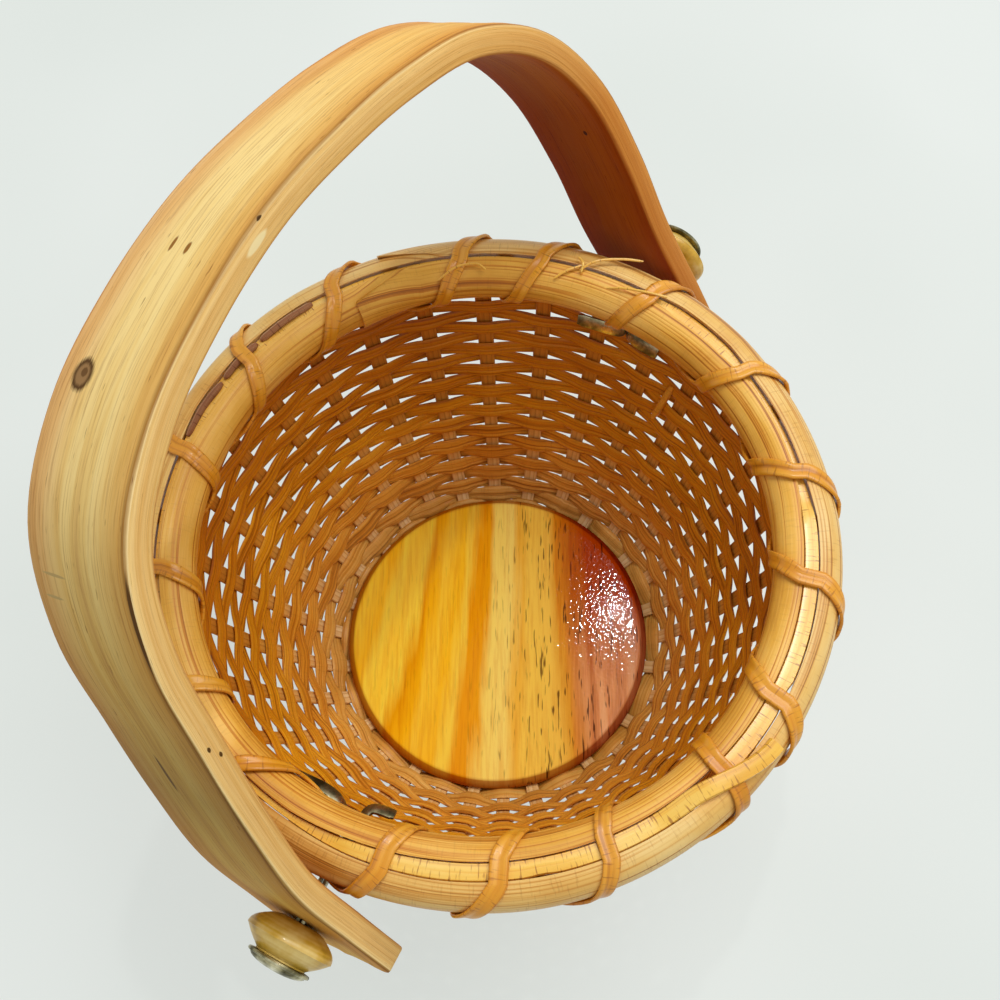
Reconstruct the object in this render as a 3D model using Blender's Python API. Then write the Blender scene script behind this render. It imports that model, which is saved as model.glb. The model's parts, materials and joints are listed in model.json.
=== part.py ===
# A round woven basket with a turned base board, 31 staves, a spiral of flat cane,
# two bent hoops bound with cane, and a bent wooden handle that swings on two studs.
# The origin is the centre of the board's underside. The studs' axis runs along X, a little off the centre.

from math import atan2, ceil, cos, floor, pi, radians, sin, sqrt, tan, tau

import bmesh
import bpy
import numpy as np
from mathutils import Matrix, Vector
from mathutils.geometry import interpolate_bezier

# Sizes that can each be set by themselves, in metres

FIT_GAP = 0.0003
CUT_OVERRUN = 0.0020
MERGE_DISTANCE = 0.000003

BOARD_RADIUS = 0.0395
BOARD_THICKNESS = 0.0078
BOARD_EDGE_ROUND = 0.0022
BOARD_FOOT_CHAMFER = 0.0008
GROOVE_DEPTH = 0.0030
GROOVE_LEVEL = 0.0040

STAVE_THICKNESS = 0.0010
STAVE_FOOT_WIDTH = 0.0027
STAVE_TOP_WIDTH = 0.0038

WALL_FOOT_REACH = 0.0090
WALL_TOP_REACH = 0.0110

WEAVER_WIDTH = 0.0031
WEAVER_THICKNESS = 0.0010
WEAVER_ROW_GAP = 0.0006
WEAVER_END_GAP = 0.0005

RIM_RADIUS = 0.0760
RIM_TOP = 0.0837
HOOP_HEIGHT = 0.0100
OUTER_HOOP_THICKNESS = 0.0048
INNER_HOOP_THICKNESS = 0.0050
HOOP_CHANNEL = 0.0044
SCARF_GAP = 0.0005

FILLER_THICKNESS = 0.0020

LASHING_WIDTH = 0.0034
LASHING_THICKNESS = 0.0008

PIVOT_OFFSET = -0.0030

HANDLE_RISE = 0.1048
HANDLE_TAIL = 0.0175
HANDLE_NARROW_WIDTH = 0.0214
HANDLE_BROAD_WIDTH = 0.0284
HANDLE_THICKNESS = 0.0055
HANDLE_EDGE_ROUND = 0.0010
HANDLE_CORNER_ROUND = 0.0035
HANDLE_SIDE_GAP = 0.0018

KNOB_RADIUS = 0.0095
KNOB_THICKNESS = 0.0077
KNOB_FACE_RADIUS = 0.0058
KNOB_RIM_ROUND = 0.0006

STUD_HEAD_RADIUS = 0.0069
STUD_HEAD_HEIGHT = 0.0019
STUD_HEAD_EDGE = 0.0005
STUD_LEG_WIDTH = 0.0020
STUD_LEG_THICKNESS = 0.00085
STUD_SLIT = 0.0003
STUD_LEG_LENGTH = 0.0092
STUD_BEND_RADIUS = 0.0012

# Counts and angles

STAVES_NEAR_SIDE = 15
STAVES_FAR_SIDE = 16
WEAVER_LENGTHS = 5
HANDLE_LEAN = radians(29.3)
HANDLE_TWIST = radians(3.5)
INNER_SCARF_ANGLE = radians(54.5)
OUTER_SCARF_ANGLE = radians(108.5)
SCARF_SLOPE = radians(22)
FILLER_START_ANGLE = radians(266.5)
FILLER_TAIL_ANGLE = radians(252)
FILLER_END_ANGLE = radians(260)
SHARP_ANGLE = radians(38)

# Each turn of the lashing: where it leaves the outer hoop's foot and reaches the inner one's, in degrees
LASHING_TURNS = (
    (10.5, 20.5), (26.5, 33.5), (50.5, 64.5), (72.5, 84.5), (96.5, 103.5), (118.5, 127.5),
    (141.5, 149.5), (164.5, 177.5), (187.5, 196.5), (204.5, 214.5), (224.5, 232.5), (245.5, 254.5),
    (260.5, 272.5), (282.5, 294.5), (302.5, 314.5), (325.5, 335.5), (348.5, 356.5),
)

# The handle's centre line, as shares of its half span and of its rise, bent a little lopsided by hand
HANDLE_SHAPE_SHARES = (
    (1.00, 0.00), (1.01, 0.18), (1.04, 0.36), (1.04, 0.55), (0.96, 0.725), (0.79, 0.855), (0.565, 0.93),
    (0.33, 0.975), (0.10, 1.00), (-0.14, 0.995), (-0.38, 0.96), (-0.59, 0.875), (-0.735, 0.725),
    (-0.825, 0.55), (-0.906, 0.37), (-0.973, 0.19), (-1.00, 0.00),
)
HANDLE_TIP_SHARES = (0.985, -1.02)
HANDLE_CORNER_SHARES = (0, 0.45, 0.75, 0.95)
HOOP_ROUNDNESS_SHARE = 2.5
LASHING_ROUNDNESS_SHARE = 3.0
KNOB_SWELL_SHARE = 0.12
FILLER_TAIL_SHARES = (0.2, 0.4, 0.6, 0.8, 1.0)
FILLER_LIFT_SHARE = 0.4
FILLER_TAIL_REACH_SHARE = 0.7

# Places and sizes that follow from those above

HOOP_BOTTOM = RIM_TOP - HOOP_HEIGHT
HOOP_MIDDLE = RIM_TOP - HOOP_HEIGHT / 2
CHANNEL_OUTSIDE = RIM_RADIUS - OUTER_HOOP_THICKNESS
CHANNEL_INSIDE = CHANNEL_OUTSIDE - HOOP_CHANNEL
WALL_TOP_RADIUS = (CHANNEL_OUTSIDE + CHANNEL_INSIDE) / 2
RIM_INSIDE = CHANNEL_INSIDE - INNER_HOOP_THICKNESS
RIM_CENTRE = (RIM_RADIUS + RIM_INSIDE) / 2
STAVE_TOP = RIM_TOP - FILLER_THICKNESS - FIT_GAP
STAVE_COUNT = STAVES_NEAR_SIDE + STAVES_FAR_SIDE
LASHING_STAND_OFF = FIT_GAP + LASHING_THICKNESS / 2
LASHING_CORNER_GAP = FIT_GAP / 2
LASHING_BOTTOM = HOOP_BOTTOM - 2 * FIT_GAP - LASHING_THICKNESS - LASHING_CORNER_GAP
TOP_ROW_HEIGHT = LASHING_BOTTOM - FIT_GAP - WEAVER_WIDTH / 2
PIVOT_HEIGHT = TOP_ROW_HEIGHT - WEAVER_WIDTH / 2 - FIT_GAP - STUD_LEG_WIDTH / 2
PIVOT_REACH = sqrt(WALL_TOP_RADIUS**2 - PIVOT_OFFSET**2)
RIGHT_STUD_ANGLE = atan2(PIVOT_OFFSET, PIVOT_REACH)
LEFT_STUD_ANGLE = pi - RIGHT_STUD_ANGLE
HANDLE_INSIDE = RIM_RADIUS + LASHING_STAND_OFF + LASHING_THICKNESS / 2 + LASHING_CORNER_GAP + HANDLE_SIDE_GAP
HANDLE_HALF_SPAN = HANDLE_INSIDE + HANDLE_THICKNESS / 2
FOOT_SLOPE = max(
    (HANDLE_SHAPE_SHARES[1][0] - 1) * HANDLE_HALF_SPAN / (HANDLE_SHAPE_SHARES[1][1] * HANDLE_RISE),
    -(HANDLE_TIP_SHARES[1] + 1) * HANDLE_HALF_SPAN / HANDLE_TAIL,
)
KNOB_TILT_ROOM = KNOB_FACE_RADIUS * sqrt(tan(HANDLE_TWIST) ** 2 + FOOT_SLOPE**2)
KNOB_INSIDE = HANDLE_INSIDE + HANDLE_THICKNESS + FIT_GAP + KNOB_TILT_ROOM
STUD_HEAD_INSIDE = KNOB_INSIDE + KNOB_THICKNESS + FIT_GAP
STUD_HALF_THICKNESS = STUD_LEG_THICKNESS + STUD_SLIT / 2
STUD_REACH = sqrt(STUD_HALF_THICKNESS**2 + (STUD_LEG_WIDTH / 2) ** 2)
STUD_HOLE_RADIUS = STUD_REACH + FIT_GAP


# Materials

def srgb(hex_colour):
    """Turns a colour such as C8A060 into linear red, green, blue and an alpha of one."""
    values = [int(hex_colour[i : i + 2], 16) / 255 for i in (0, 2, 4)]
    return [v / 12.92 if v <= 0.04045 else ((v + 0.055) / 1.055) ** 2.4 for v in values] + [1.0]


def make_material(name, hex_colour, roughness, metallic=0.0):
    material = bpy.data.materials.new(name)
    material.use_nodes = True
    shader = material.node_tree.nodes["Principled BSDF"]
    shader.inputs["Base Color"].default_value = srgb(hex_colour)
    shader.inputs["Roughness"].default_value = roughness
    shader.inputs["Metallic"].default_value = metallic
    return material


# Building blocks

def clear_scene():
    for obj in list(bpy.data.objects):
        bpy.data.objects.remove(obj, do_unlink=True)


def add_object(name, mesh, parent=None):
    obj = bpy.data.objects.new(name, mesh)
    bpy.context.scene.collection.objects.link(obj)
    obj.parent = parent
    return obj


def finish_mesh(name, bm, material):
    bmesh.ops.recalc_face_normals(bm, faces=bm.faces)
    mesh = bpy.data.meshes.new(name)
    bm.to_mesh(mesh)
    bm.free()
    mesh.materials.append(material)
    mesh.shade_smooth()
    mesh.set_sharp_from_angle(angle=SHARP_ANGLE)
    return mesh


def skin_rings(rings, closed=False):
    """Joins rings of points, one after another, into a tube with flat ends, or into a closed loop."""
    bm = bmesh.new()
    loops = [[bm.verts.new(point) for point in ring] for ring in rings]
    pairs = list(zip(loops, loops[1:]))
    if closed:
        pairs.append((loops[-1], loops[0]))
    for first, second in pairs:
        for i in range(len(first)):
            j = (i + 1) % len(first)
            bm.faces.new((first[i], first[j], second[j], second[i]))
    if not closed:
        bm.faces.new(loops[0])
        bm.faces.new(loops[-1])
    return bm


def turned(profile, steps):
    """Spins an outline of (radius, height) points round Z. Its first and last points lie on the axis."""
    bm = bmesh.new()
    verts = [bm.verts.new((radius, 0, height)) for radius, height in profile]
    edges = [bm.edges.new(pair) for pair in zip(verts, verts[1:])]
    bmesh.ops.spin(
        bm, geom=verts + edges, cent=(0, 0, 0), axis=(0, 0, 1), angle=tau, steps=steps, use_merge=True
    )
    bmesh.ops.remove_doubles(bm, verts=bm.verts, dist=MERGE_DISTANCE)
    return bm


def ribbon_rings(points, normals, width, thickness):
    """Rings of four corners for a flat strip that follows points, with its face towards normals."""
    rings = []
    for i, (point, normal) in enumerate(zip(points, normals)):
        before = (point - points[max(i - 1, 0)]).normalized()
        after = (points[min(i + 1, len(points) - 1)] - point).normalized()
        forward = (before + after).normalized()
        across = forward.cross(normal).normalized()
        outward = across.cross(forward).normalized()
        side = across * width / 2
        lift = outward * thickness / 2
        rings.append([point + side + lift, point - side + lift, point - side - lift, point + side - lift])
    return rings


def cut(target, cutter):
    cutter.hide_render = True
    cutter.display_type = "WIRE"
    modifier = target.modifiers.new("cut " + cutter.name, "BOOLEAN")
    modifier.operation = "DIFFERENCE"
    modifier.solver = "EXACT"
    modifier.object = cutter


def join(target, other):
    other.hide_render = True
    other.display_type = "WIRE"
    modifier = target.modifiers.new("join " + other.name, "BOOLEAN")
    modifier.operation = "UNION"
    modifier.solver = "EXACT"
    modifier.object = other


def on_circle(radius, angle, height):
    return Vector((radius * cos(angle), radius * sin(angle), height))


# The wall's curve, from the board's edge up to the hoops, which the staves and the weavers follow

class WallLine:
    def __init__(self):
        foot = Vector((BOARD_RADIUS, GROOVE_LEVEL))
        top = Vector((WALL_TOP_RADIUS, HOOP_BOTTOM))
        foot_pull = foot + Vector((WALL_FOOT_REACH, 0))
        top_pull = top - Vector((0, WALL_TOP_REACH))
        line = np.array(interpolate_bezier(foot, foot_pull, top_pull, top, 400))
        steps = np.diff(line, axis=0)
        lengths = np.hypot(steps[:, 0], steps[:, 1])
        self.along = np.concatenate([[0], np.cumsum(lengths)])
        self.line = line
        self.slopes = np.gradient(line, axis=0)
        self.length = float(self.along[-1])

    def at(self, distance):
        """Radius and height at a distance from the board, the direction up the wall, and the one out of it."""
        radius, height = (float(np.interp(distance, self.along, self.line[:, i])) for i in (0, 1))
        up = Vector([float(np.interp(distance, self.along, self.slopes[:, i])) for i in (0, 1)]).normalized()
        return radius, height, up, Vector((up.y, -up.x))

    def bend_across(self, distance, width):
        """The angle that the wall turns through across a strip of this width."""
        below, above = (self.at(distance + side * width / 2)[2] for side in (-1, 1))
        return below.angle(above)

    def stations(self, steps):
        """Distances from foot to top that lie closer together where the wall bends more."""
        return [float(self.along[round((len(self.along) - 1) * i / steps)]) for i in range(steps + 1)]

    def radius_at(self, height):
        return float(np.interp(height, self.line[:, 1], self.line[:, 0]))


def stave_angles():
    """The staves' places round the board, with a gap on each side where a stud passes."""
    angles = []
    for start, end, count in (
        (RIGHT_STUD_ANGLE, LEFT_STUD_ANGLE, STAVES_NEAR_SIDE),
        (LEFT_STUD_ANGLE, RIGHT_STUD_ANGLE + tau, STAVES_FAR_SIDE),
    ):
        angles += [start + (end - start) * (i + 0.5) / count for i in range(count)]
    return angles


def stave_width(share):
    return STAVE_FOOT_WIDTH + (STAVE_TOP_WIDTH - STAVE_FOOT_WIDTH) * share


# The pieces

def make_base_board(material):
    groove = STAVE_THICKNESS / 2 + FIT_GAP
    corner = BOARD_RADIUS - BOARD_EDGE_ROUND
    shoulder = BOARD_THICKNESS - BOARD_EDGE_ROUND
    profile = [
        (0, 0),
        (BOARD_RADIUS - BOARD_FOOT_CHAMFER, 0),
        (BOARD_RADIUS, BOARD_FOOT_CHAMFER),
        (BOARD_RADIUS, GROOVE_LEVEL - groove),
        (BOARD_RADIUS - GROOVE_DEPTH, GROOVE_LEVEL - groove),
        (BOARD_RADIUS - GROOVE_DEPTH, GROOVE_LEVEL + groove),
        (BOARD_RADIUS, GROOVE_LEVEL + groove),
    ]
    quarter_steps = 4
    for i in range(quarter_steps + 1):
        turn = pi / 2 * i / quarter_steps
        profile.append((corner + BOARD_EDGE_ROUND * cos(turn), shoulder + BOARD_EDGE_ROUND * sin(turn)))
    profile.append((0, BOARD_THICKNESS))
    return add_object("base_board", finish_mesh("base_board", turned(profile, 44), material))


def stave_mesh(wall, material):
    """One stave in the XZ plane: from the groove, up the wall, and between the hoops."""
    stations = [(BOARD_RADIUS - GROOVE_DEPTH + FIT_GAP, GROOVE_LEVEL, Vector((0, -1)), 0)]
    step_count = 8
    for distance in wall.stations(step_count):
        radius, height, _, out = wall.at(distance)
        stations.append((radius, height, out, distance / wall.length))
    stations.append((WALL_TOP_RADIUS, STAVE_TOP, Vector((1, 0)), 1))
    rings = []
    for radius, height, out, share in stations:
        half_width = stave_width(share) / 2
        lift = out * STAVE_THICKNESS / 2
        rings.append([
            (radius + lift.x, half_width, height + lift.y),
            (radius + lift.x, -half_width, height + lift.y),
            (radius - lift.x, -half_width, height - lift.y),
            (radius - lift.x, half_width, height - lift.y),
        ])
    return finish_mesh("stave", skin_rings(rings), material)


def make_staves(wall, material):
    mesh = stave_mesh(wall, material)
    for number, angle in enumerate(stave_angles(), 1):
        stave = add_object(f"stave_{number:02d}", mesh)
        stave.rotation_euler.z = angle


def weave_place(wall, i, distance):
    """The point and the normal where step i of the weave passes its stave, by turns outside and inside."""
    angles = stave_angles()
    turn, number = divmod(i, STAVE_COUNT)
    angle = angles[number] + tau * turn
    radius, height, _, out = wall.at(distance)
    spacing = angles[(number + 1) % STAVE_COUNT] - angles[number]
    half_turn = (spacing % tau) / 2
    share = (stave_width(distance / wall.length) / 2) / (2 * radius * sin(half_turn))
    seat = STAVE_THICKNESS / 2 + WEAVER_THICKNESS / 2 + FIT_GAP
    outside = i % 2 == 0
    if outside:
        seat += radius * (1 - cos(half_turn)) * 4 * share * (1 - share)
    else:
        seat += WEAVER_WIDTH * wall.bend_across(distance, WEAVER_WIDTH) / 4
    swing = seat / (1 - 2 * share) * (1 if outside else -1)
    point = on_circle(radius + out.x * swing, angle, height + out.y * swing)
    return point, on_circle(out.x, angle, out.y)


def make_weavers(wall, material):
    """One spiral from the board up to the studs, in five lengths, and a level row above the studs."""
    first = WEAVER_WIDTH / 2 + (STAVE_THICKNESS + WEAVER_THICKNESS) / 2 + 2 * FIT_GAP
    last = wall.length - (HOOP_BOTTOM - PIVOT_HEIGHT) - STUD_LEG_WIDTH / 2 - 3 * FIT_GAP - WEAVER_WIDTH / 2
    rows = floor((last - first) / (WEAVER_WIDTH + WEAVER_ROW_GAP))
    angles = stave_angles()
    steps = rows * STAVE_COUNT
    places = []
    for i in range(steps + 1):
        climb = (angles[i % STAVE_COUNT] - angles[0] + tau * (i // STAVE_COUNT)) / (tau * rows)
        places.append(weave_place(wall, i, first + (last - first) * climb))
    share = ceil(steps / WEAVER_LENGTHS)
    lengths = [places[start : start + share + 1] for start in range(0, steps, share)]
    top_distance = wall.length - (HOOP_BOTTOM - TOP_ROW_HEIGHT)
    lengths.append([weave_place(wall, steps + i, top_distance) for i in range(STAVE_COUNT)])
    for number, length in enumerate(lengths, 1):
        points = [point.copy() for point, _ in length]
        normals = [normal for _, normal in length]
        for end, inner in ((0, 1), (-1, -2)):
            points[end] += (points[inner] - points[end]).normalized() * WEAVER_END_GAP / 2
        rings = ribbon_rings(points, normals, WEAVER_WIDTH, WEAVER_THICKNESS)
        name = f"weaver_{number}"
        add_object(name, finish_mesh(name, skin_rings(rings), material))


def make_hoop(name, flat_radius, thickness, side, scarf_angle, material):
    """A half-round hoop. Its flat face lies at flat_radius, and side is 1 outwards or -1 inwards."""
    section = []
    arc_steps = 7
    for i in range(arc_steps + 1):
        turn = pi * i / arc_steps - pi / 2
        bulge = abs(cos(turn)) ** (2 / HOOP_ROUNDNESS_SHARE)
        rise = abs(sin(turn)) ** (2 / HOOP_ROUNDNESS_SHARE) * (1 if turn > 0 else -1)
        section.append((flat_radius + side * thickness * bulge, HOOP_MIDDLE + HOOP_HEIGHT / 2 * rise))
    ring_count = 56
    rings = [
        [on_circle(radius, tau * i / ring_count, height) for radius, height in section]
        for i in range(ring_count)
    ]
    hoop = add_object(name, finish_mesh(name, skin_rings(rings, closed=True), material))
    cut(hoop, scarf_cutter(name + "_scarf", flat_radius + side * thickness / 2, thickness, scarf_angle))
    return hoop


def scarf_cutter(name, radius, thickness, angle):
    """A thin slab that crosses a hoop at a slant, where its two ends lap."""
    bm = bmesh.new()
    bmesh.ops.create_cube(bm, size=1)
    length = (thickness + SCARF_GAP) / sin(SCARF_SLOPE) + 2 * CUT_OVERRUN / tan(SCARF_SLOPE)
    bmesh.ops.scale(bm, verts=bm.verts, vec=(length, SCARF_GAP, HOOP_HEIGHT + 2 * CUT_OVERRUN))
    mesh = bpy.data.meshes.new(name)
    bm.to_mesh(mesh)
    bm.free()
    slab = add_object(name, mesh)
    slab.location = on_circle(radius, angle, HOOP_MIDDLE)
    slab.rotation_euler.z = angle + pi / 2 + SCARF_SLOPE
    return slab


def make_filler(material):
    """The cane on top of the staves, whose last end lies out over the outer hoop."""
    tail = FILLER_END_ANGLE - FILLER_TAIL_ANGLE
    span = tau - (FILLER_START_ANGLE - FILLER_END_ANGLE)
    step_count = 60
    angles = [FILLER_START_ANGLE + (span - tail) * i / step_count for i in range(step_count + 1)]
    angles += [angles[-1] + tail * share for share in FILLER_TAIL_SHARES]
    channel_height = RIM_TOP - FILLER_THICKNESS / 2
    tail_height = RIM_TOP + FIT_GAP + FILLER_THICKNESS / 2
    points, normals = [], []
    for i, angle in enumerate(angles):
        share = max(0, (angle - angles[step_count]) / tail)
        lift = min(1, share / FILLER_LIFT_SHARE)
        reach = FILLER_TAIL_REACH_SHARE * max(0, share - FILLER_LIFT_SHARE) / (1 - FILLER_LIFT_SHARE)
        radius = WALL_TOP_RADIUS + (RIM_RADIUS - WALL_TOP_RADIUS) * reach
        points.append(on_circle(radius, angle, channel_height + (tail_height - channel_height) * lift))
        normals.append(Vector((0, 0, 1)))
    width = HOOP_CHANNEL - 2 * FIT_GAP
    rings = ribbon_rings(points, normals, width, FILLER_THICKNESS)
    return add_object("rim_filler", finish_mesh("rim_filler", skin_rings(rings), material))


def gap_near(angle):
    """The nearest place to an angle where the lashing passes between two staves."""
    staves = stave_angles()
    staves.append(staves[0] + tau)
    gaps = [((a + b) / 2, (b - a) / 2) for a, b in zip(staves, staves[1:])]
    middle, half_gap = min(gaps, key=lambda gap: abs(gap[0] - angle % tau))
    free = half_gap - (STAVE_TOP_WIDTH / 2 + LASHING_WIDTH) / WALL_TOP_RADIUS
    return angle + min(max(angle % tau - middle, -free), free) - (angle % tau - middle)


def lashing_point(turn, angle):
    """A point and a normal on the rounded outline that the lashing follows round both hoops."""
    half_width = (RIM_RADIUS - RIM_INSIDE) / 2 + LASHING_STAND_OFF + LASHING_CORNER_GAP
    half_height = HOOP_HEIGHT / 2 + LASHING_STAND_OFF + LASHING_CORNER_GAP
    power = 2 / LASHING_ROUNDNESS_SHARE
    across = abs(cos(turn)) ** power * (1 if cos(turn) > 0 else -1)
    up = abs(sin(turn)) ** power * (1 if sin(turn) > 0 else -1)
    lean = LASHING_ROUNDNESS_SHARE - 1
    slope = Vector((
        abs(across) ** lean * (1 if across > 0 else -1) / half_width,
        abs(up) ** lean * (1 if up > 0 else -1) / half_height,
    )).normalized()
    point = on_circle(RIM_CENTRE + half_width * across, angle, HOOP_MIDDLE + half_height * up)
    return point, on_circle(slope.x, angle, slope.y)


def make_lashing(material):
    """One strip that goes up outside the rim, over it, down inside, and back out between two staves."""
    outer = [radians(turn[0]) for turn in LASHING_TURNS]
    inner = [radians(turn[1]) for turn in LASHING_TURNS]
    points, normals = [], []
    steps = 12
    last = len(LASHING_TURNS) - 1
    for k in range(last + 1):
        came_from = gap_near((inner[k - 1] + outer[k]) / 2) if k else outer[0]
        goes_to = gap_near((inner[k] + outer[k + 1]) / 2) if k < last else inner[k]
        for i in range(2 if k == 0 else 0, steps - 1 if k == last else steps):
            turn = tau * i / steps - pi / 2
            angle = float(np.interp(
                turn, [-pi / 2, -pi / 8, 9 * pi / 8, 3 * pi / 2], [came_from, outer[k], inner[k], goes_to]
            ))
            point, normal = lashing_point(turn, angle)
            points.append(point)
            normals.append(normal)
    rings = ribbon_rings(points, normals, LASHING_WIDTH, LASHING_THICKNESS)
    return add_object("rim_lashing", finish_mesh("rim_lashing", skin_rings(rings), material))


def smooth_through(points, steps):
    """A smooth curve through points: the tangent at each one follows its two neighbours."""
    points = [points[0] * 2 - points[1]] + points + [points[-1] * 2 - points[-2]]
    curve = []
    for a, b, c, d in zip(points, points[1:], points[2:], points[3:]):
        pull_b, pull_c = b + (c - a) / 6, c - (d - b) / 6
        curve += interpolate_bezier(b, pull_b, pull_c, c, steps + 1)[:-1]
    return curve + [points[-2]]


def handle_ring(point, forward, width):
    """A flat strip's section with eased edges, square to the strip's run and a little twisted."""
    half_width, half_thick = width / 2, HANDLE_THICKNESS / 2
    ease = min(HANDLE_EDGE_ROUND, half_width / 2)
    section = [
        (half_width, half_thick - ease), (half_width - ease, half_thick),
        (-half_width + ease, half_thick), (-half_width, half_thick - ease),
        (-half_width, -half_thick + ease), (-half_width + ease, -half_thick),
        (half_width - ease, -half_thick), (half_width, -half_thick + ease),
    ]
    ring = []
    for across, thick in section:
        out = thick * cos(HANDLE_TWIST) + across * sin(HANDLE_TWIST)
        along = across * cos(HANDLE_TWIST) - thick * sin(HANDLE_TWIST)
        ring.append((point.x + forward.y * out, along, point.y - forward.x * out))
    return ring


def handle_tail(foot, tip, half_width):
    """Points and half widths from a stud down to the handle's end, which has two rounded corners."""
    run = tip - foot
    straight = 1 - HANDLE_CORNER_ROUND / run.length
    stations = []
    for share in HANDLE_CORNER_SHARES:
        taken = HANDLE_CORNER_ROUND * (1 - sqrt(1 - share**2))
        stations.append((foot + run * (straight + (1 - straight) * share), half_width - taken))
    return stations


def make_handle(material):
    """The handle stands upright round its own origin on the studs' axis, and leans by its empty."""
    pivot = bpy.data.objects.new("handle_pivot", None)
    bpy.context.scene.collection.objects.link(pivot)
    pivot.location = (0, PIVOT_OFFSET, PIVOT_HEIGHT)
    pivot.rotation_euler.x = -HANDLE_LEAN
    shape = [Vector((x * HANDLE_HALF_SPAN, z * HANDLE_RISE)) for x, z in HANDLE_SHAPE_SHARES]
    curve = smooth_through(shape, 3)
    half_widths = np.linspace(HANDLE_NARROW_WIDTH / 2, HANDLE_BROAD_WIDTH / 2, len(curve))
    stations = list(zip(curve, half_widths))
    right_tip, left_tip = (Vector((share * HANDLE_HALF_SPAN, -HANDLE_TAIL)) for share in HANDLE_TIP_SHARES)
    right = handle_tail(curve[0], right_tip, half_widths[0])
    left = handle_tail(curve[-1], left_tip, half_widths[-1])
    stations = right[::-1] + stations + left
    rings = []
    for i, (point, half_width) in enumerate(stations):
        before = stations[max(i - 1, 0)][0]
        after = stations[min(i + 1, len(stations) - 1)][0]
        rings.append(handle_ring(point, (after - before).normalized(), 2 * float(half_width)))
    handle = add_object("handle", finish_mesh("handle", skin_rings(rings), material), pivot)
    for name, side in (("right", 1), ("left", -1)):
        drill = stud_drill("handle_hole_" + name, side * HANDLE_HALF_SPAN, HANDLE_THICKNESS)
        drill.parent = pivot
        cut(handle, drill)
    return handle


def stud_drill(name, place, depth):
    """A round cutter along X for a stud's hole."""
    bm = bmesh.new()
    bmesh.ops.create_cone(
        bm, cap_ends=True, segments=20, radius1=STUD_HOLE_RADIUS, radius2=STUD_HOLE_RADIUS,
        depth=depth + 2 * CUT_OVERRUN, matrix=Matrix.Rotation(pi / 2, 4, "Y"),
    )
    mesh = bpy.data.meshes.new(name)
    bm.to_mesh(mesh)
    bm.free()
    drill = add_object(name, mesh)
    drill.location.x = place
    return drill


def knob_mesh(material):
    """A turned knob with a bore: two shallow swelling cones that meet in a narrow rim."""
    half = KNOB_THICKNESS / 2
    flare_steps = 3
    lower = []
    for i in range(flare_steps + 1):
        share = i / flare_steps
        swell = sin(pi * share) * KNOB_SWELL_SHARE * (KNOB_RADIUS - KNOB_FACE_RADIUS)
        radius = KNOB_FACE_RADIUS + (KNOB_RADIUS - KNOB_FACE_RADIUS) * share + swell
        lower.append((radius, -half + (half - KNOB_RIM_ROUND / 2) * share))
    outline = [(STUD_HOLE_RADIUS, -half)] + lower
    outline += [(radius, -height) for radius, height in reversed(lower)] + [(STUD_HOLE_RADIUS, half)]
    steps = 24
    rings = [
        [on_circle(radius, tau * i / steps, height) for radius, height in outline] for i in range(steps)
    ]
    return finish_mesh("knob", skin_rings(rings, closed=True), material)


def make_knobs(material):
    mesh = knob_mesh(material)
    for name, side in (("knob_right", 1), ("knob_left", -1)):
        knob = add_object(name, mesh)
        knob.location = (side * (KNOB_INSIDE + KNOB_THICKNESS / 2), PIVOT_OFFSET, PIVOT_HEIGHT)
        knob.rotation_euler.y = side * pi / 2


def stud_leg_mesh(name, side, wall, material):
    """One leg of a stud: along X through the knob, handle and wall, then out along the wall."""
    radius = wall.radius_at(PIVOT_HEIGHT - STUD_LEG_WIDTH / 2)
    clear = radius - STAVE_THICKNESS / 2 - FIT_GAP
    inner = sqrt(clear**2 - (STUD_LEG_LENGTH + abs(PIVOT_OFFSET)) ** 2) - STUD_LEG_THICKNESS / 2
    offset = side * (STUD_SLIT + STUD_LEG_THICKNESS) / 2
    bend = STUD_BEND_RADIUS
    points = [Vector((STUD_HEAD_INSIDE + STUD_HEAD_HEIGHT / 2, offset, 0))]
    bend_steps = 4
    for i in range(bend_steps + 1):
        turn = pi / 2 * i / bend_steps
        points.append(Vector((inner + bend - bend * sin(turn), offset + side * bend * (1 - cos(turn)), 0)))
    points.append(Vector((inner, side * STUD_LEG_LENGTH, 0)))
    rings = []
    for i, point in enumerate(points):
        before = points[max(i - 1, 0)]
        after = points[min(i + 1, len(points) - 1)]
        forward = (after - before).normalized()
        flat = Vector((-forward.y, forward.x, 0)) * STUD_LEG_THICKNESS / 2
        edge = Vector((0, 0, STUD_LEG_WIDTH / 2))
        rings.append([point + flat + edge, point - flat + edge, point - flat - edge, point + flat - edge])
    return finish_mesh(name, skin_rings(rings), material)


def stud_head_mesh(material):
    """The domed head, turned round X, with a thin rolled edge."""
    profile = [(0, 0), (STUD_HEAD_RADIUS - STUD_HEAD_EDGE, 0), (STUD_HEAD_RADIUS, STUD_HEAD_EDGE)]
    dome_steps = 4
    for i in range(1, dome_steps + 1):
        turn = pi / 2 * i / dome_steps
        height = STUD_HEAD_EDGE + (STUD_HEAD_HEIGHT - STUD_HEAD_EDGE) * sin(turn)
        profile.append((STUD_HEAD_RADIUS * cos(turn) if i < dome_steps else 0, height))
    bm = turned(profile, 28)
    matrix = Matrix.Translation((STUD_HEAD_INSIDE, 0, 0)) @ Matrix.Rotation(pi / 2, 4, "Y")
    bmesh.ops.transform(bm, matrix=matrix, verts=bm.verts)
    return finish_mesh("stud_head", bm, material)


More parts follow.
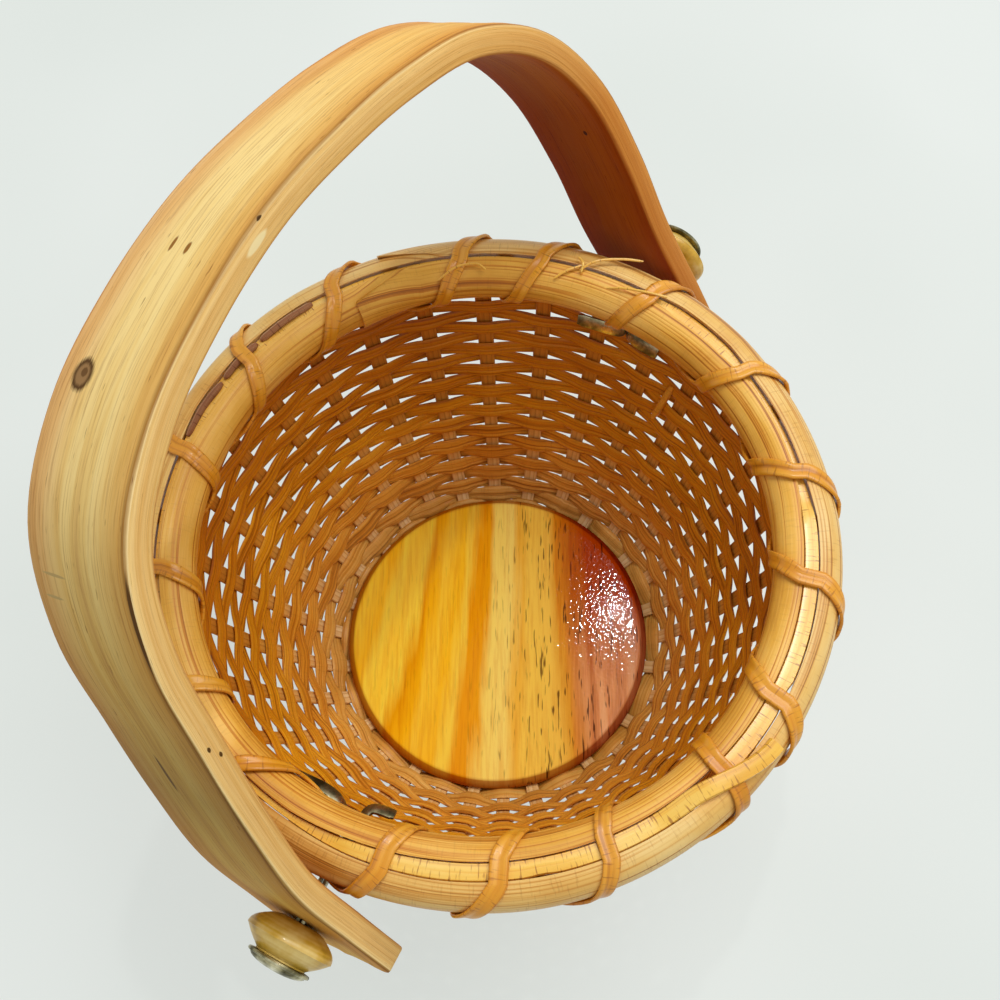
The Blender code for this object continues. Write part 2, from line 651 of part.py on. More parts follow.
def make_studs(wall, material):
    head = stud_head_mesh(material)
    for name, turn in (("pin_right", 0), ("pin_left", pi)):
        stud = add_object(name, head)
        stud.location = (0, PIVOT_OFFSET, PIVOT_HEIGHT)
        stud.rotation_euler.z = turn
        for leg_name, side in (("_leg_a", 1), ("_leg_b", -1)):
            leg = add_object(name + leg_name, stud_leg_mesh(name + leg_name, side, wall, material), stud)
            join(stud, leg)


def build():
    clear_scene()
    pine = make_material("varnished pine", "C98F3A", 0.35)
    stave_cane = make_material("split cane stave", "D9A960", 0.5)
    weave_cane = make_material("woven cane", "BE853B", 0.5)
    hoop_cane = make_material("half-round rattan", "D8AF68", 0.42)
    filler_cane = make_material("pale flat cane", "E0BE7C", 0.4)
    lashing_cane = make_material("binding cane", "C98E42", 0.4)
    bent_wood = make_material("steam-bent wood", "C08F56", 0.5)
    bone = make_material("cream bone", "D5B366", 0.35)
    old_brass = make_material("tarnished brass", "8A8160", 0.35, 1.0)
    wall = WallLine()
    make_base_board(pine)
    make_staves(wall, stave_cane)
    make_weavers(wall, weave_cane)
    make_hoop(
        "rim_hoop_outer", CHANNEL_OUTSIDE, OUTER_HOOP_THICKNESS, 1, OUTER_SCARF_ANGLE, hoop_cane
    )
    make_hoop(
        "rim_hoop_inner", CHANNEL_INSIDE, INNER_HOOP_THICKNESS, -1, INNER_SCARF_ANGLE, hoop_cane
    )
    make_filler(filler_cane)
    make_lashing(lashing_cane)
    make_handle(bent_wood)
    make_knobs(bone)
    make_studs(wall, old_brass)


build()
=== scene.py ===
# The looks of a small round cane basket with a swinging bent-wood handle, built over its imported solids.
# Lengths are in metres, +Z is up, and the handle's pivot runs along X.

import json
from functools import partial
from math import atan2, cos, degrees, pi, radians, sin, sqrt, tau

import bpy
import numpy as np
from mathutils import Matrix, Quaternion, Vector, noise
from mathutils.geometry import interpolate_bezier


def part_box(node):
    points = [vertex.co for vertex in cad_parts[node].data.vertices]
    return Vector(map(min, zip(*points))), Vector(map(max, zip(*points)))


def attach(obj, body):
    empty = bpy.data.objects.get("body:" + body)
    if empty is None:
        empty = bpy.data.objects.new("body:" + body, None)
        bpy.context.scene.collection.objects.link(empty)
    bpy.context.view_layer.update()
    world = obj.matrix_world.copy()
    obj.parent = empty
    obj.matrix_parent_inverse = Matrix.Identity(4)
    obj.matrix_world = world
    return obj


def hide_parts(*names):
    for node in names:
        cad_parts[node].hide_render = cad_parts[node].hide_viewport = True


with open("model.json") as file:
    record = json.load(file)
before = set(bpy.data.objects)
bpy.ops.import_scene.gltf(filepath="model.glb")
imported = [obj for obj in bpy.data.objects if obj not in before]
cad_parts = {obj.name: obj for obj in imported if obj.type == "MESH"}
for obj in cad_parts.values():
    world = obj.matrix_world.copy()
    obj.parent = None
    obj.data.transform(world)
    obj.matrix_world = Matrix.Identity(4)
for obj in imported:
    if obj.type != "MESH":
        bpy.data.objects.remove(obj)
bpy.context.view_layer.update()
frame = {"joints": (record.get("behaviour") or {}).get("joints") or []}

print("frame loaded")


# Helpers

def hexColour(code):
    parts = [int(code[i:i + 2], 16) / 255 for i in (0, 2, 4)]
    return [c / 12.92 if c <= .04045 else ((c + .055) / 1.055) ** 2.4 for c in parts] + [1]


def addNode(material, kind, settings=None):
    node = material.node_tree.nodes.new("ShaderNode" + kind)
    setNode(material, node, settings or {})
    return node


def setNode(material, node, settings):
    # settings name a property or an input, by name or number, and give its value or what feeds it: a
    # socket, or a node whose first output is meant; stops are a ramp's places and colours
    for key, value in settings.items():
        if key == "stops":
            stops = node.color_ramp.elements
            stops[0].position, stops[1].position = value[0][0], value[-1][0]
            for place, _ in value[1:-1]:
                stops.new(place)
            for stop, (_, colour) in zip(stops, value):
                stop.color = hexColour(colour)
        elif isinstance(value, (bpy.types.Node, bpy.types.NodeSocket)):
            source = value.outputs[0] if isinstance(value, bpy.types.Node) else value
            material.node_tree.links.new(source, node.inputs[key])
        elif isinstance(key, int) or key in node.inputs:
            node.inputs[key].default_value = value
        else:
            setattr(node, key, value)


def startMaterial(name, settings):
    # gives the material, its shader, and addNode for that material
    material = bpy.data.materials.new(name)
    material.use_nodes = True
    shader = material.node_tree.nodes["Principled BSDF"]
    setNode(material, shader, settings)
    return material, shader, partial(addNode, material)


def onCircle(radius, angle, height):
    return Vector((radius * cos(angle), radius * sin(angle), height))


def wander(place, size, seed=0):
    # a smooth random number within about -1 to 1, the same on every run
    return noise.noise(Vector((place / size, seed * 7.31, seed * 3.77))) * 1.6


def activate(obj):
    bpy.ops.object.select_all(action="DESELECT")
    obj.select_set(True)
    bpy.context.view_layer.objects.active = obj


def settle(obj, name, material, body, smooth=40):
    # the finished piece: its place goes into its mesh, its faces point outwards, and it rides its body
    activate(obj)
    bpy.ops.object.transform_apply(location=True, rotation=True, scale=True)
    bpy.ops.object.mode_set(mode="EDIT")
    bpy.ops.mesh.select_all(action="SELECT")
    bpy.ops.mesh.normals_make_consistent(inside=False)
    bpy.ops.object.mode_set(mode="OBJECT")
    bpy.ops.object.shade_smooth_by_angle(angle=radians(smooth))
    obj.name = name
    obj.data.name = name
    obj.data.materials.clear()
    obj.data.materials.append(material)
    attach(obj, body)
    return obj


def skinPiece(name, rings, uvs, material, body, smooth=40):
    # joins rings of points into a tube with filled ends; each ring has one UV place more than points
    count = len(rings[0])
    verts = [point for ring in rings for point in ring]
    faces, corners = [], []
    for i in range(len(rings) - 1):
        for j in range(count):
            n = (j + 1) % count
            faces.append((i * count + j, i * count + n, (i + 1) * count + n, (i + 1) * count + j))
            corners += [uvs[i][j], uvs[i][j + 1], uvs[i + 1][j + 1], uvs[i + 1][j]]
    for i in (0, len(rings) - 1):
        faces.append(tuple(i * count + j for j in range(count)))
        corners += uvs[i][:count]
    mesh = bpy.data.meshes.new(name)
    mesh.from_pydata(verts, [], faces)
    layer = mesh.uv_layers.new(name="UVMap")
    layer.data.foreach_set("uv", [value for corner in corners for value in corner])
    obj = bpy.data.objects.new(name, mesh)
    bpy.context.scene.collection.objects.link(obj)
    return settle(obj, name, material, body, smooth)


def layStrip(name, path, section, thickness, material, smooth=40):
    # path: points with the way out, a width and perhaps a share of the thickness; section: shares of half
    # the width and of half the thickness. The UV is in metres: u along the strip, v across it.
    rings, uvs, run = [], [], 0
    last, half = len(path) - 1, thickness / 2
    for i, (point, normal, width, *swell) in enumerate(path):
        forward = (path[min(i + 1, last)][0] - path[max(i - 1, 0)][0]).normalized()
        across = forward.cross(normal).normalized()
        outward = across.cross(forward)
        thick = swell[0] if swell else 1
        if i:
            run += (point - path[i - 1][0]).length
        rings.append([point + across * (share * width / 2) + outward * (lift * half) * thick
                      for share, lift in section])
        uvs.append([(run, share * width / 2) for share, _ in section + section[:1]])
    return skinPiece(name, rings, uvs, material, "basket", smooth)


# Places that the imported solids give

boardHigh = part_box("base_board")[1]
outerLow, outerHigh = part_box("rim_hoop_outer")
pivot = Vector(frame["joints"][0]["pos_m"])

rim = {
    "outerThickness": .0048, "innerThickness": .0050, "channel": .0044, "roundness": 2.5,
    # the length of a hoop's joint round the rim, and the shares of the thickness that its two ends keep
    "lap": radians(13), "firstEnd": .12, "lastEnd": .26, "cover": 1.04, "heightShare": .985,
    # half the gap that shows between the tops of the hoops, by degrees round the rim
    "gaps": ((0, .0005), (20, .0005), (45, .0006), (56, .0009), (64, .0016), (92, .0017), (101, .0007),
             (150, .0006), (175, .0008), (186, .0015), (200, .0019), (250, .0019), (300, .0016),
             (309, .0007), (328, .0006), (336, .0016), (348, .0015), (356, .0005), (360, .0005)),
}
rimRadius, rimTop, rimBottom = outerHigh.x, outerHigh.z, outerLow.z
rimMiddle = (rimTop + rimBottom) / 2
hoopHeight = rimTop - rimBottom
channelOutside = rimRadius - rim["outerThickness"]
channelInside = channelOutside - rim["channel"]
channelMiddle = (channelOutside + channelInside) / 2

# The wall's curve from the board's groove up to the hoops
wall = {"footReach": .0090, "topReach": .0110, "grooveLevel": .0040}
wallFoot = Vector((boardHigh.x, wall["grooveLevel"]))
wallTop = Vector((channelMiddle, rimBottom))
wallLine = np.array(interpolate_bezier(
    wallFoot, wallFoot + Vector((wall["footReach"], 0)), wallTop - Vector((0, wall["topReach"])), wallTop, 400
))
wallRun = np.concatenate([[0], np.cumsum(np.hypot(*np.diff(wallLine, axis=0).T))])
wallSlope = np.gradient(wallLine, axis=0)
wallLength = float(wallRun[-1])


def gapAt(angle):
    return float(np.interp(degrees(angle) % 360, *zip(*rim["gaps"])))


def leanAt(angle, rise):
    # how far a hoop's upper part leans over the channel, from its middle up to its top
    share = min(max(rise, 0), 1)
    return (rim["channel"] / 2 - gapAt(angle)) * share * share * (3 - 2 * share)


def onWall(distance):
    # radius and height this far up the wall, and the way out of it; past its ends it goes on straight,
    # inwards at the foot and upwards at the top
    radius, height = (float(np.interp(distance, wallRun, wallLine[:, i])) for i in (0, 1))
    up = Vector([float(np.interp(distance, wallRun, wallSlope[:, i])) for i in (0, 1)]).normalized()
    if distance > wallLength:
        height += distance - wallLength
    radius += min(distance, 0)
    return radius, height, Vector((up.y, -up.x))


rightStud = atan2(pivot.y, sqrt(channelMiddle ** 2 - pivot.y ** 2))
leftStud = pi - rightStud
staveAngles = []
for start, end, count in ((rightStud, leftStud, 15), (leftStud, rightStud + tau, 16)):
    staveAngles += [start + (end - start) * (i + .5) / count for i in range(count)]
staveCount = len(staveAngles)


# Materials

def addPattern(add, place, scale, settings, stops):
    # a noise stretched by its three scales, and the tones that it gives
    stretched = add("Mapping", {"Scale": scale, "Vector": place})
    pattern = add("TexNoise", {**settings, "Vector": stretched})
    return pattern, add("ValToRGB", {"stops": stops, "Fac": pattern})


def compute(add, operation, *values):
    return add("Math", {"operation": operation, **dict(enumerate(values))})


def remap(add, value, start, end, low=0, high=1):
    # low where the value is at its start, high at its end, and held beyond them
    return add("MapRange", {"From Min": start, "From Max": end, "To Min": low, "To Max": high,
                            "Value": value})


def blend(add, share, under, over, way="MULTIPLY"):
    return add("Mix", {"data_type": "RGBA", "blend_type": way, 0: share, 6: under, 7: over}).outputs[2]


def caneMaterial(name, look):
    # split cane or rattan: long straight fibres, so fine lengthwise lines, uneven stain and a waxy sheen
    material, shader, add = startMaterial(name, {
        "Roughness": look["rough"], "IOR": 1.5, "Specular IOR Level": .3, "Coat Weight": look["coat"],
        "Coat Roughness": .2, "Coat IOR": 1.5,
    })
    place = add("TexCoord").outputs
    # fibre lines about look["fibre"] apart, many times longer than wide
    fibres, fibreTone = addPattern(add, place["UV"], (14, 1 / look["fibre"], 1),
                                   {"Scale": .6, "Detail": 3, "Roughness": .6}, look["fibreTones"])
    # stain that changes over some centimetres along a strip
    drift = add("Mapping", {"Scale": (1 / .018, 1 / .006, 1), "Vector": place["UV"]})
    stain = add("TexNoise", {"Scale": 1, "Detail": 4, "Roughness": .55, "Vector": drift})
    region = add("TexNoise", {"Scale": 1 / .03, "Detail": 2, "Vector": place["Object"]})
    both = compute(add, "ADD", stain, region)
    half = compute(add, "MULTIPLY", both, .5)
    tone = add("ValToRGB", {"stops": look["tones"], "Fac": half})
    # on the weave and the staves the colour changes from the wall's foot to its top: paler at the foot and
    # darker towards the rim, mostly painted light and shade that stand in for how the wall is lit
    height = add("SeparateXYZ", {0: place["Object"]}).outputs[2]
    climb = remap(add, height, .006, rimBottom)
    climbTone = add("ValToRGB", {"stops": look.get("climb", [(0, "FFFFFF"), (1, "FFFFFF")]), "Fac": climb})
    heightShaded = blend(add, 1, tone, climbTone)
    mixed = blend(add, look["fibreDepth"], heightShaded, fibreTone)
    # faint cross ticks, about 0.5 mm apart, where the skin of the cane has crazed
    _, crazeTone = addPattern(add, place["UV"], (1 / .0005, 1 / .004, 1), {"Scale": 1, "Detail": 2},
                              [(.33, "9A6426"), (.43, "FFFFFF")])
    ticked = blend(add, look["ticks"], mixed, crazeTone)
    bump = add("Bump", {"Strength": look["bump"], "Distance": .0002, "Height": fibres})
    setNode(material, shader, {"Base Color": ticked, "Normal": bump})
    return material


caneLooks = {"honey stained flat cane": {
    "rough": .45, "coat": .06, "fibre": .00042, "fibreDepth": .8, "bump": .7, "ticks": .15,
    "fibreTones": [(.32, "8E5612"), (.47, "EBCF98"), (.6, "FFFFFF")],
    "tones": [(.30, "CC9440"), (.45, "E0AC54"), (.58, "ECBE68"), (.72, "F6CE80")],
    # painted light at the wall's foot, painted shade towards the rim
    "climb": [(0, "FFFCF4"), (.18, "FEE8A4"), (.42, "FCE250"), (.7, "F4CE44"), (1, "E2AE40")],
}, "natural split cane": {
    "rough": .5, "coat": .03, "fibre": .00045, "fibreDepth": .7, "bump": .5, "ticks": .1,
    "fibreTones": [(.32, "A87430"), (.48, "F4E0B8"), (.62, "FFFFFF")],
    "tones": [(.30, "DCB070"), (.5, "F0CC90"), (.72, "FAE0B0")],
    # the stave's foot is paled as painted light against the shade there, and darker towards the rim as
    # painted shade
    "climb": [(0, "FFFFFF"), (.2, "FCECC8"), (.45, "ECCA74"), (1, "D89A3C")],
}, "ribbed half round rattan": {
    "rough": .42, "coat": .05, "fibre": .00045, "fibreDepth": .9, "bump": 1, "ticks": .1,
    "fibreTones": [(.32, "9A6418"), (.40, "DEB060"), (.50, "FFF8E8")],
    "tones": [(.30, "CE902C"), (.5, "ECB64C"), (.72, "FAD27C")],
}, "smooth half round rattan": {
    "rough": .4, "coat": .08, "fibre": .0005, "fibreDepth": .8, "bump": .9, "ticks": .2,
    "fibreTones": [(.33, "8E5C20"), (.41, "DCB470"), (.51, "FFFFFF")],
    "tones": [(.30, "D69A40"), (.5, "EABC68"), (.72, "F6D894")],
}, "pale glossy flat cane": {
    "rough": .3, "coat": .35, "fibre": .0006, "fibreDepth": .5, "bump": .4, "ticks": .7,
    "fibreTones": [(.32, "B88030"), (.42, "F4DCA8"), (.55, "FFFFFF")],
    "tones": [(.30, "E6A42C"), (.5, "F8C654"), (.72, "FCDC84")],
}, "waxed binding cane": {
    "rough": .34, "coat": .25, "fibre": .0008, "fibreDepth": .6, "bump": .5, "ticks": .5,
    "fibreTones": [(.32, "A06818"), (.46, "F0D8A8"), (.6, "FFFFFF")],
    "tones": [(.30, "CA8010"), (.5, "E6A028"), (.72, "F4BC50")],
}, "brown bark on twigs": {
    "rough": .6, "coat": 0, "fibre": .0005, "fibreDepth": .8, "bump": 1, "ticks": .8,
    "fibreTones": [(.34, "6A4020"), (.46, "D8B088"), (.6, "FFFFFF")],
    "tones": [(.30, "8A5A38"), (.5, "B08058"), (.72, "D0A880")],
}}
weaveCane, staveCane, innerRattan, outerRattan, fillerCane, lashingCane, twigWood = (
    caneMaterial(name, look) for name, look in caneLooks.items()
)


def pineMaterial():
    # flat sawn pine under clear varnish: stripes of early and late wood, and red heartwood at one side
    material, shader, add = startMaterial("varnished pine", {
        "Roughness": .5, "IOR": 1.5, "Specular IOR Level": 0, "Coat Weight": .12, "Coat Roughness": .03,
    })
    place = add("TexCoord").outputs["Object"]
    turn = add("Mapping", {"Rotation": (0, 0, radians(-27.2)), "Vector": place})
    waver, heart = addPattern(add, turn, (18, 300, 18), {"Scale": 1, "Detail": 4, "Roughness": .55},
                              [(.35, "C87438"), (.5, "FAB070"), (.65, "FFC68C")])
    lengthwise, sideways, height = add("SeparateXYZ", {0: turn}).outputs
    # the stripes spread towards one end of the board: the slant is .04 plus .006 for each mm across
    slant = compute(add, "MULTIPLY_ADD", sideways, 6, .04)
    along = compute(add, "SUBTRACT", lengthwise, .015)
    across = compute(add, "MULTIPLY_ADD", along, slant, sideways)
    soft = compute(add, "MULTIPLY_ADD", waver, .0075, across)
    share = remap(add, soft, .00375 - boardHigh.y, .00375 + boardHigh.y)
    stripes = add("ValToRGB", {"stops": [
        (0, "B43A00"), (.18, "BC4600"), (.24, "CC6C0C"), (.29, "E8981C"), (.33, "FFD050"), (.40, "FFD450"),
        (.42, "F8BE3C"), (.46, "FFE270"), (.51, "FFE068"), (.535, "F4A810"), (.57, "F2A20C"),
        (.60, "FFDA48"), (.63, "FFC420"), (.68, "FFD038"), (.71, "FCBC14"), (.735, "EEA40A"),
        (.765, "FFDC44"), (.80, "FFD038"), (.85, "FFDE44"), (.88, "FFC41C"), (.93, "FFD638"), (1, "FCBE18"),
    ], "Fac": share})
    # the heartwood pales towards the near end
    heartShare = remap(add, share, .3, .22)
    paling = remap(add, lengthwise, .012, -.014)
    both = compute(add, "MULTIPLY", heartShare, paling)
    wood = blend(add, both, stripes, heart, "MIX")
    # grain lines about 0.7 mm apart
    _, fineTone = addPattern(add, turn, (90, 1500, 90), {"Scale": 1, "Detail": 3, "Roughness": .6},
                             [(.35, "D89A50"), (.55, "FFFFFF")])
    grained = blend(add, .3, wood, fineTone)
    # open pores: dashes about 4 mm long and 0.3 mm wide, most of them on the heart side
    _, poreTone = addPattern(add, turn, (170, 1900, 200), {"Scale": 1, "Detail": 1},
                             [(.30, "4A1C06"), (.37, "FFFFFF")])
    poreShare = remap(add, share, .56, .36, .12, .85)
    pored = blend(add, poreShare, grained, poreTone)
    # darker on the rounded edge
    edge = remap(add, height, boardHigh.z - .00002, boardHigh.z - .0002)
    edged = blend(add, edge, pored, hexColour("B69080"))
    # brushed varnish over the grain, dimpled about every 0.8 mm, which breaks up the gloss
    dimples = add("TexNoise", {"Scale": 1 / .0008, "Detail": 0, "Vector": place})
    bump = add("Bump", {"Strength": .22, "Distance": .0001, "Height": dimples})
    setNode(material, shader, {"Base Color": edged, "Normal": bump, "Coat Normal": bump})
    return material


# marks on the handle: along it in metres, across as the face's number and share, half sizes, and colour
handleMarks = [
    # the knot, and specks beside it
    (.2082, .25, .0029, .095, "5A3C1C"), (.2082, .25, .0019, .062, "9A7448"),
    (.2078, .26, .0008, .03, "6E4C28"), (.1832, .41, .0016, .016, "946428"),
    (.1836, .56, .0013, .020, "946428"), (.1758, 1.02, .0007, .04, "4A3014"),
    # a chip on the edge, a dot and a stain inside, and two dots on the edge near the left stud
    (.1790, 1.50, .0030, .16, "F6DEA4"), (.0654, 2.32, .0007, .022, "4A2008"),
    (.0434, 2.68, .0050, .05, "8A3A06"), (.2721, 1.35, .0006, .07, "5A3C18"),
    (.2746, 1.65, .0006, .07, "5A3C18"),
    # scratches, a streak and a crack on the near leg
    (.2399, .25, .0003, .12, "C4A468"), (.2440, .20, .0003, .09, "C4A468"),
    (.2822, .42, .0050, .018, "6A4A20"), (.2449, .98, .0090, .025, "5A3C1C"),
]


def handleMaterial():
    # steam bent hardwood rubbed with oil: long soft bands, short dark flecks, a matt sheen
    material, shader, add = startMaterial("oiled bent wood", {"Roughness": .6, "Specular IOR Level": .1})
    place = add("TexCoord").outputs["UV"]
    run, face, _ = add("SeparateXYZ", {0: place}).outputs
    bandNoise, bandTone = addPattern(add, place, (9, 7, 1),
                                     {"Scale": 1, "Detail": 5, "Roughness": .6, "Distortion": .3},
                                     [(.28, "C89858"), (.42, "F0DCB0"), (.55, "FFFFFF")])
    # outer face, edge, inner face, other edge, one after the other; the inner face's dark brown is partly its
    # own colour and partly painted shade
    waver = compute(add, "MULTIPLY_ADD", bandNoise, .1, face)
    round = compute(add, "DIVIDE", waver, 4.1)
    tone = add("ValToRGB", {"stops": [
        (.01, "ECB878"), (.05, "F2C684"), (.10, "FADA90"), (.17, "FCDE94"), (.21, "F2C878"),
        (.238, "E8B868"), (.25, "A87838"), (.262, "FCE2A8"), (.28, "FAD48C"), (.36, "F0C47C"),
        (.48, "F0C478"), (.51, "BC6A12"), (.57, "BE760E"), (.66, "B06A0A"), (.73, "A85208"), (.76, "DC9A54"),
    ], "Fac": round})
    banded = blend(add, .5, tone, bandTone)
    # the far leg is redder, and the near one darker olive on its outer face where it turns down, away from
    # the light: painted shade
    along = remap(add, run, 0, .36)
    # the dip towards olive from .72 to .9 along is painted shade on the near leg
    legTone = add("ValToRGB", {"stops": [
        (0, "D0A070"), (.2, "DCB07C"), (.34, "FAE6C4"), (.45, "FFFFFF"), (.62, "FFFFFF"), (.72, "DED2B0"),
        (.8, "BCB088"), (.9, "E0CC9C"), (1, "F0D8A4"),
    ], "Fac": along})
    outerFace = remap(add, face, 1.06, .98)
    farEdges = remap(add, run, .07, .16, 1, .1)
    legTintAndShade = compute(add, "MAXIMUM", outerFace, farEdges)
    legTintedAndShaded = blend(add, legTintAndShade, banded, legTone)
    fineNoise, fineTone = addPattern(add, place, (60, 60, 1), {"Scale": 1, "Detail": 4, "Roughness": .7},
                                     [(.32, "A8763A"), (.5, "FFFFFF")])
    grained = blend(add, .5, legTintedAndShaded, fineTone)
    # short dark flecks, about 3 mm long
    _, fleckTone = addPattern(add, place, (260, 45, 1), {"Scale": 1, "Detail": 1},
                              [(.22, "8A5C24"), (.29, "FFFFFF")])
    colour = blend(add, .6, grained, fleckTone)
    for along, across, long, wide, shade in handleMarks:
        spread = add("Mapping", {
            "Location": (-along / long, -across / wide, 0), "Scale": (1 / long, 1 / wide, 0), "Vector": place,
        })
        reach = add("VectorMath", {"operation": "LENGTH", 0: spread}).outputs["Value"]
        ragged = compute(add, "MULTIPLY_ADD", fineNoise, .5, reach)
        inside = remap(add, ragged, 1.35, 1.05)
        colour = blend(add, inside, colour, hexColour(shade), "MIX")
    bump = add("Bump", {"Strength": .3, "Distance": .0003, "Height": fineNoise})
    setNode(material, shader, {"Base Color": colour, "Normal": bump})
    return material


def boneMaterial():
    # turned and polished bone: creamy, with faint turning rings and olive blushes
    material, shader, add = startMaterial("polished bone", {
        "Roughness": .35, "Specular IOR Level": .3, "Coat Weight": .15, "Coat Roughness": .1,
    })
    place = add("TexCoord").outputs["Object"]
    cloud = add("TexNoise", {"Scale": 1 / .006, "Detail": 3, "Vector": place})
    # the rings are about 0.7 mm apart along the knob's own axis
    turned = add("Mapping", {"Scale": (1 / .0007, 20, 20), "Vector": place})
    rings = add("TexNoise", {"Scale": 1, "Detail": 1, "Vector": turned})
    both = compute(add, "MULTIPLY_ADD", rings, .35, cloud)
    tone = add("ValToRGB", {"stops": [(.42, "A87E1C"), (.62, "D8AC3C"), (.85, "ECCE80")], "Fac": both})
    setNode(material, shader, {"Base Color": tone})
    return material


def brassMaterial():
    # old brass gone grey-brown, rubbed smooth and bright in patches
    material, shader, add = startMaterial("tarnished brass", {
        "Roughness": .35, "Metallic": 1, "Specular IOR Level": .3,
    })
    place = add("TexCoord").outputs["Object"]
    cloud = add("TexNoise", {"Scale": 1 / .005, "Detail": 6, "Roughness": .6, "Vector": place})
    tone = add("ValToRGB", {"stops": [(.36, "3A3622"), (.48, "787254"), (.58, "B4AC88"), (.7, "E4DCBC")],
                            "Fac": cloud})
    rough = remap(add, cloud, .4, .65, .5, .22)
    setNode(material, shader, {"Base Color": tone, "Roughness": rough})
    return material


pine = pineMaterial()
bentWood = handleMaterial()
bone = boneMaterial()
oldBrass = brassMaterial()
print("materials ready")


# The turned board

def makeBoard():
    board = {"edgeRound": .0022, "footChamfer": .0008, "grooveDepth": .0030, "grooveHalf": .0008}
    radius, thickness = boardHigh.x, boardHigh.z
    nearly = .00001
    bpy.ops.object.select_all(action="DESELECT")
    bpy.ops.mesh.primitive_cylinder_add(vertices=128, radius=radius, depth=thickness,
                                        location=(0, 0, thickness / 2))
    obj = bpy.context.object
    bpy.ops.object.transform_apply(location=True)
    bpy.ops.object.mode_set(mode="EDIT")
    for level in (-1, 1):
        bpy.ops.mesh.select_all(action="SELECT")
        height = wall["grooveLevel"] + level * board["grooveHalf"]
        bpy.ops.mesh.bisect(plane_co=(0, 0, height), plane_no=(0, 0, 1))
    pickFaces(obj, lambda face: abs(face.normal.z) < .1
              and abs(face.center.z - wall["grooveLevel"]) < board["grooveHalf"])
    bpy.ops.mesh.extrude_region_move()
    shrink = 1 - board["grooveDepth"] / radius
    bpy.ops.transform.resize(value=(shrink, shrink, 1))
    pickEdges(obj, lambda a, b: min(a.z, b.z) > thickness - nearly)
    bpy.ops.mesh.bevel(offset=board["edgeRound"], segments=6, affect="EDGES")
    # a narrow ring round the top keeps the top's own shading flat
    pickFaces(obj, lambda face: face.normal.z > .99 and len(face.vertices) > 8)
    bpy.ops.mesh.inset(thickness=board["edgeRound"] / 3)
    pickEdges(obj, lambda a, b: max(a.z, b.z) < nearly)
    bpy.ops.mesh.bevel(offset=board["footChamfer"], segments=2, affect="EDGES")
    bpy.ops.object.mode_set(mode="OBJECT")
    settle(obj, "boardPine", pine, "basket", 50)
    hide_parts("base_board")


def pickFaces(obj, test):
    bpy.ops.mesh.select_all(action="DESELECT")
    bpy.ops.mesh.select_mode(type="FACE")
    bpy.ops.object.mode_set(mode="OBJECT")
    for face in obj.data.polygons:
        face.select = test(face)
    bpy.ops.object.mode_set(mode="EDIT")


def pickEdges(obj, test):
    bpy.ops.mesh.select_all(action="DESELECT")
    bpy.ops.mesh.select_mode(type="EDGE")
    bpy.ops.object.mode_set(mode="OBJECT")
    points = [v.co for v in obj.data.vertices]
    for edge in obj.data.edges:
        edge.select = test(*(points[i] for i in edge.vertices))
    bpy.ops.object.mode_set(mode="EDIT")


makeBoard()
print("board made")


# The staves

staveSize = {
    "thickness": .0009, "endWidth": .0027, "footWidth": .0033, "topWidth": .0040, "top": rimTop - .0023,
    "footReach": .0027,
    "section": ((-1, .2), (-.86, .8), (-.4, 1), (.4, 1), (.86, .8), (1, .2), (1, -.3), (.86, -.85),
                (.4, -1), (-.4, -1), (-.86, -.85), (-1, -.3)),
}


def staveWidth(distance):
    share = min(1, distance / wallLength)
    return staveSize["footWidth"] + (staveSize["topWidth"] - staveSize["footWidth"]) * share


def makeStaves():
    for number, angle in enumerate(staveAngles, 1):
        foot = onCircle(boardHigh.x - staveSize["footReach"], angle, wall["grooveLevel"])
        path = [(foot, Vector((0, 0, -1)), staveSize["endWidth"])]
        for i in range(25):
            distance = wallLength * i / 24
            radius, height, out = onWall(distance)
            drift = .0003 * wander(distance, .03, number)
            point = onCircle(radius, angle + drift / radius, height)
            width = staveWidth(distance) * (1 + .06 * wander(distance, .02, number + 50))
            path.append((point, onCircle(out.x, angle, out.y), width))
        top = onCircle(channelMiddle, angle, staveSize["top"] - .0004 * abs(wander(number, .7)))
        path.append((top, onCircle(1, angle, 0), staveSize["topWidth"]))
        stave = layStrip(f"stave{number:02d}", path, staveSize["section"], staveSize["thickness"], staveCane)
        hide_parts(f"stave_{number:02d}")


makeStaves()
print("staves made")


# The weave: one long spiral of flat cane, out and in round the staves

weave = {
    "rowPitch": .0036, "thickness": .0009, "stepsPerStave": 8, "lengths": 6,
    # its lower edge is tucked against the board's edge, and its first turn begins as a thin tail
    "low": -.0005, "tail": .0016, "thinnest": .0007, "topRoom": .0006, "seatGap": .00005,
    # the strip's width, as shares of the pitch, where rows cross between staves, and where they lie on one
    # low down and high up
    "crossShare": .98, "frontShares": (1.26, 1.09), "frontPlaces": (.012, .045),
    # how far the rows draw back from a stud, how far round, and how far down
    "studRoom": .0013, "studReach": radians(7), "studBelow": .012,
    "section": ((-1, .1), (-.88, .62), (-.5, .9), (0, 1), (.5, .9), (.88, .62), (1, .1), (.97, -.4),
                (.72, -.9), (.3, -.95), (.12, -.62), (-.08, -.95), (-.5, -1), (-.8, -.85), (-1, -.4)),
}


def clearStuds(angle, middle, bottom, top, high):
    # the strip's edges, drawn back from a stud that passes through the wall near this angle
    studDistance = wallLength - (rimBottom - pivot.z)
    below = weave["studBelow"]
    for place in (rightStud, leftStud):
        apart = abs((angle - place + pi) % tau - pi)
        push = weave["studRoom"] * np.exp(-(apart / weave["studReach"]) ** 2)
        if middle > studDistance:
            squeeze = (high - studDistance - push) / (high - studDistance)
            top = high - (high - top) * squeeze if top < high else top
            bottom = max(high - (high - bottom) * squeeze, studDistance + push)
        elif middle > studDistance - below:
            squeeze = (below - push) / below
            top = min(studDistance - below + (top - studDistance + below) * squeeze, studDistance - push)
            bottom = studDistance - below + (bottom - studDistance + below) * squeeze
    return bottom, top


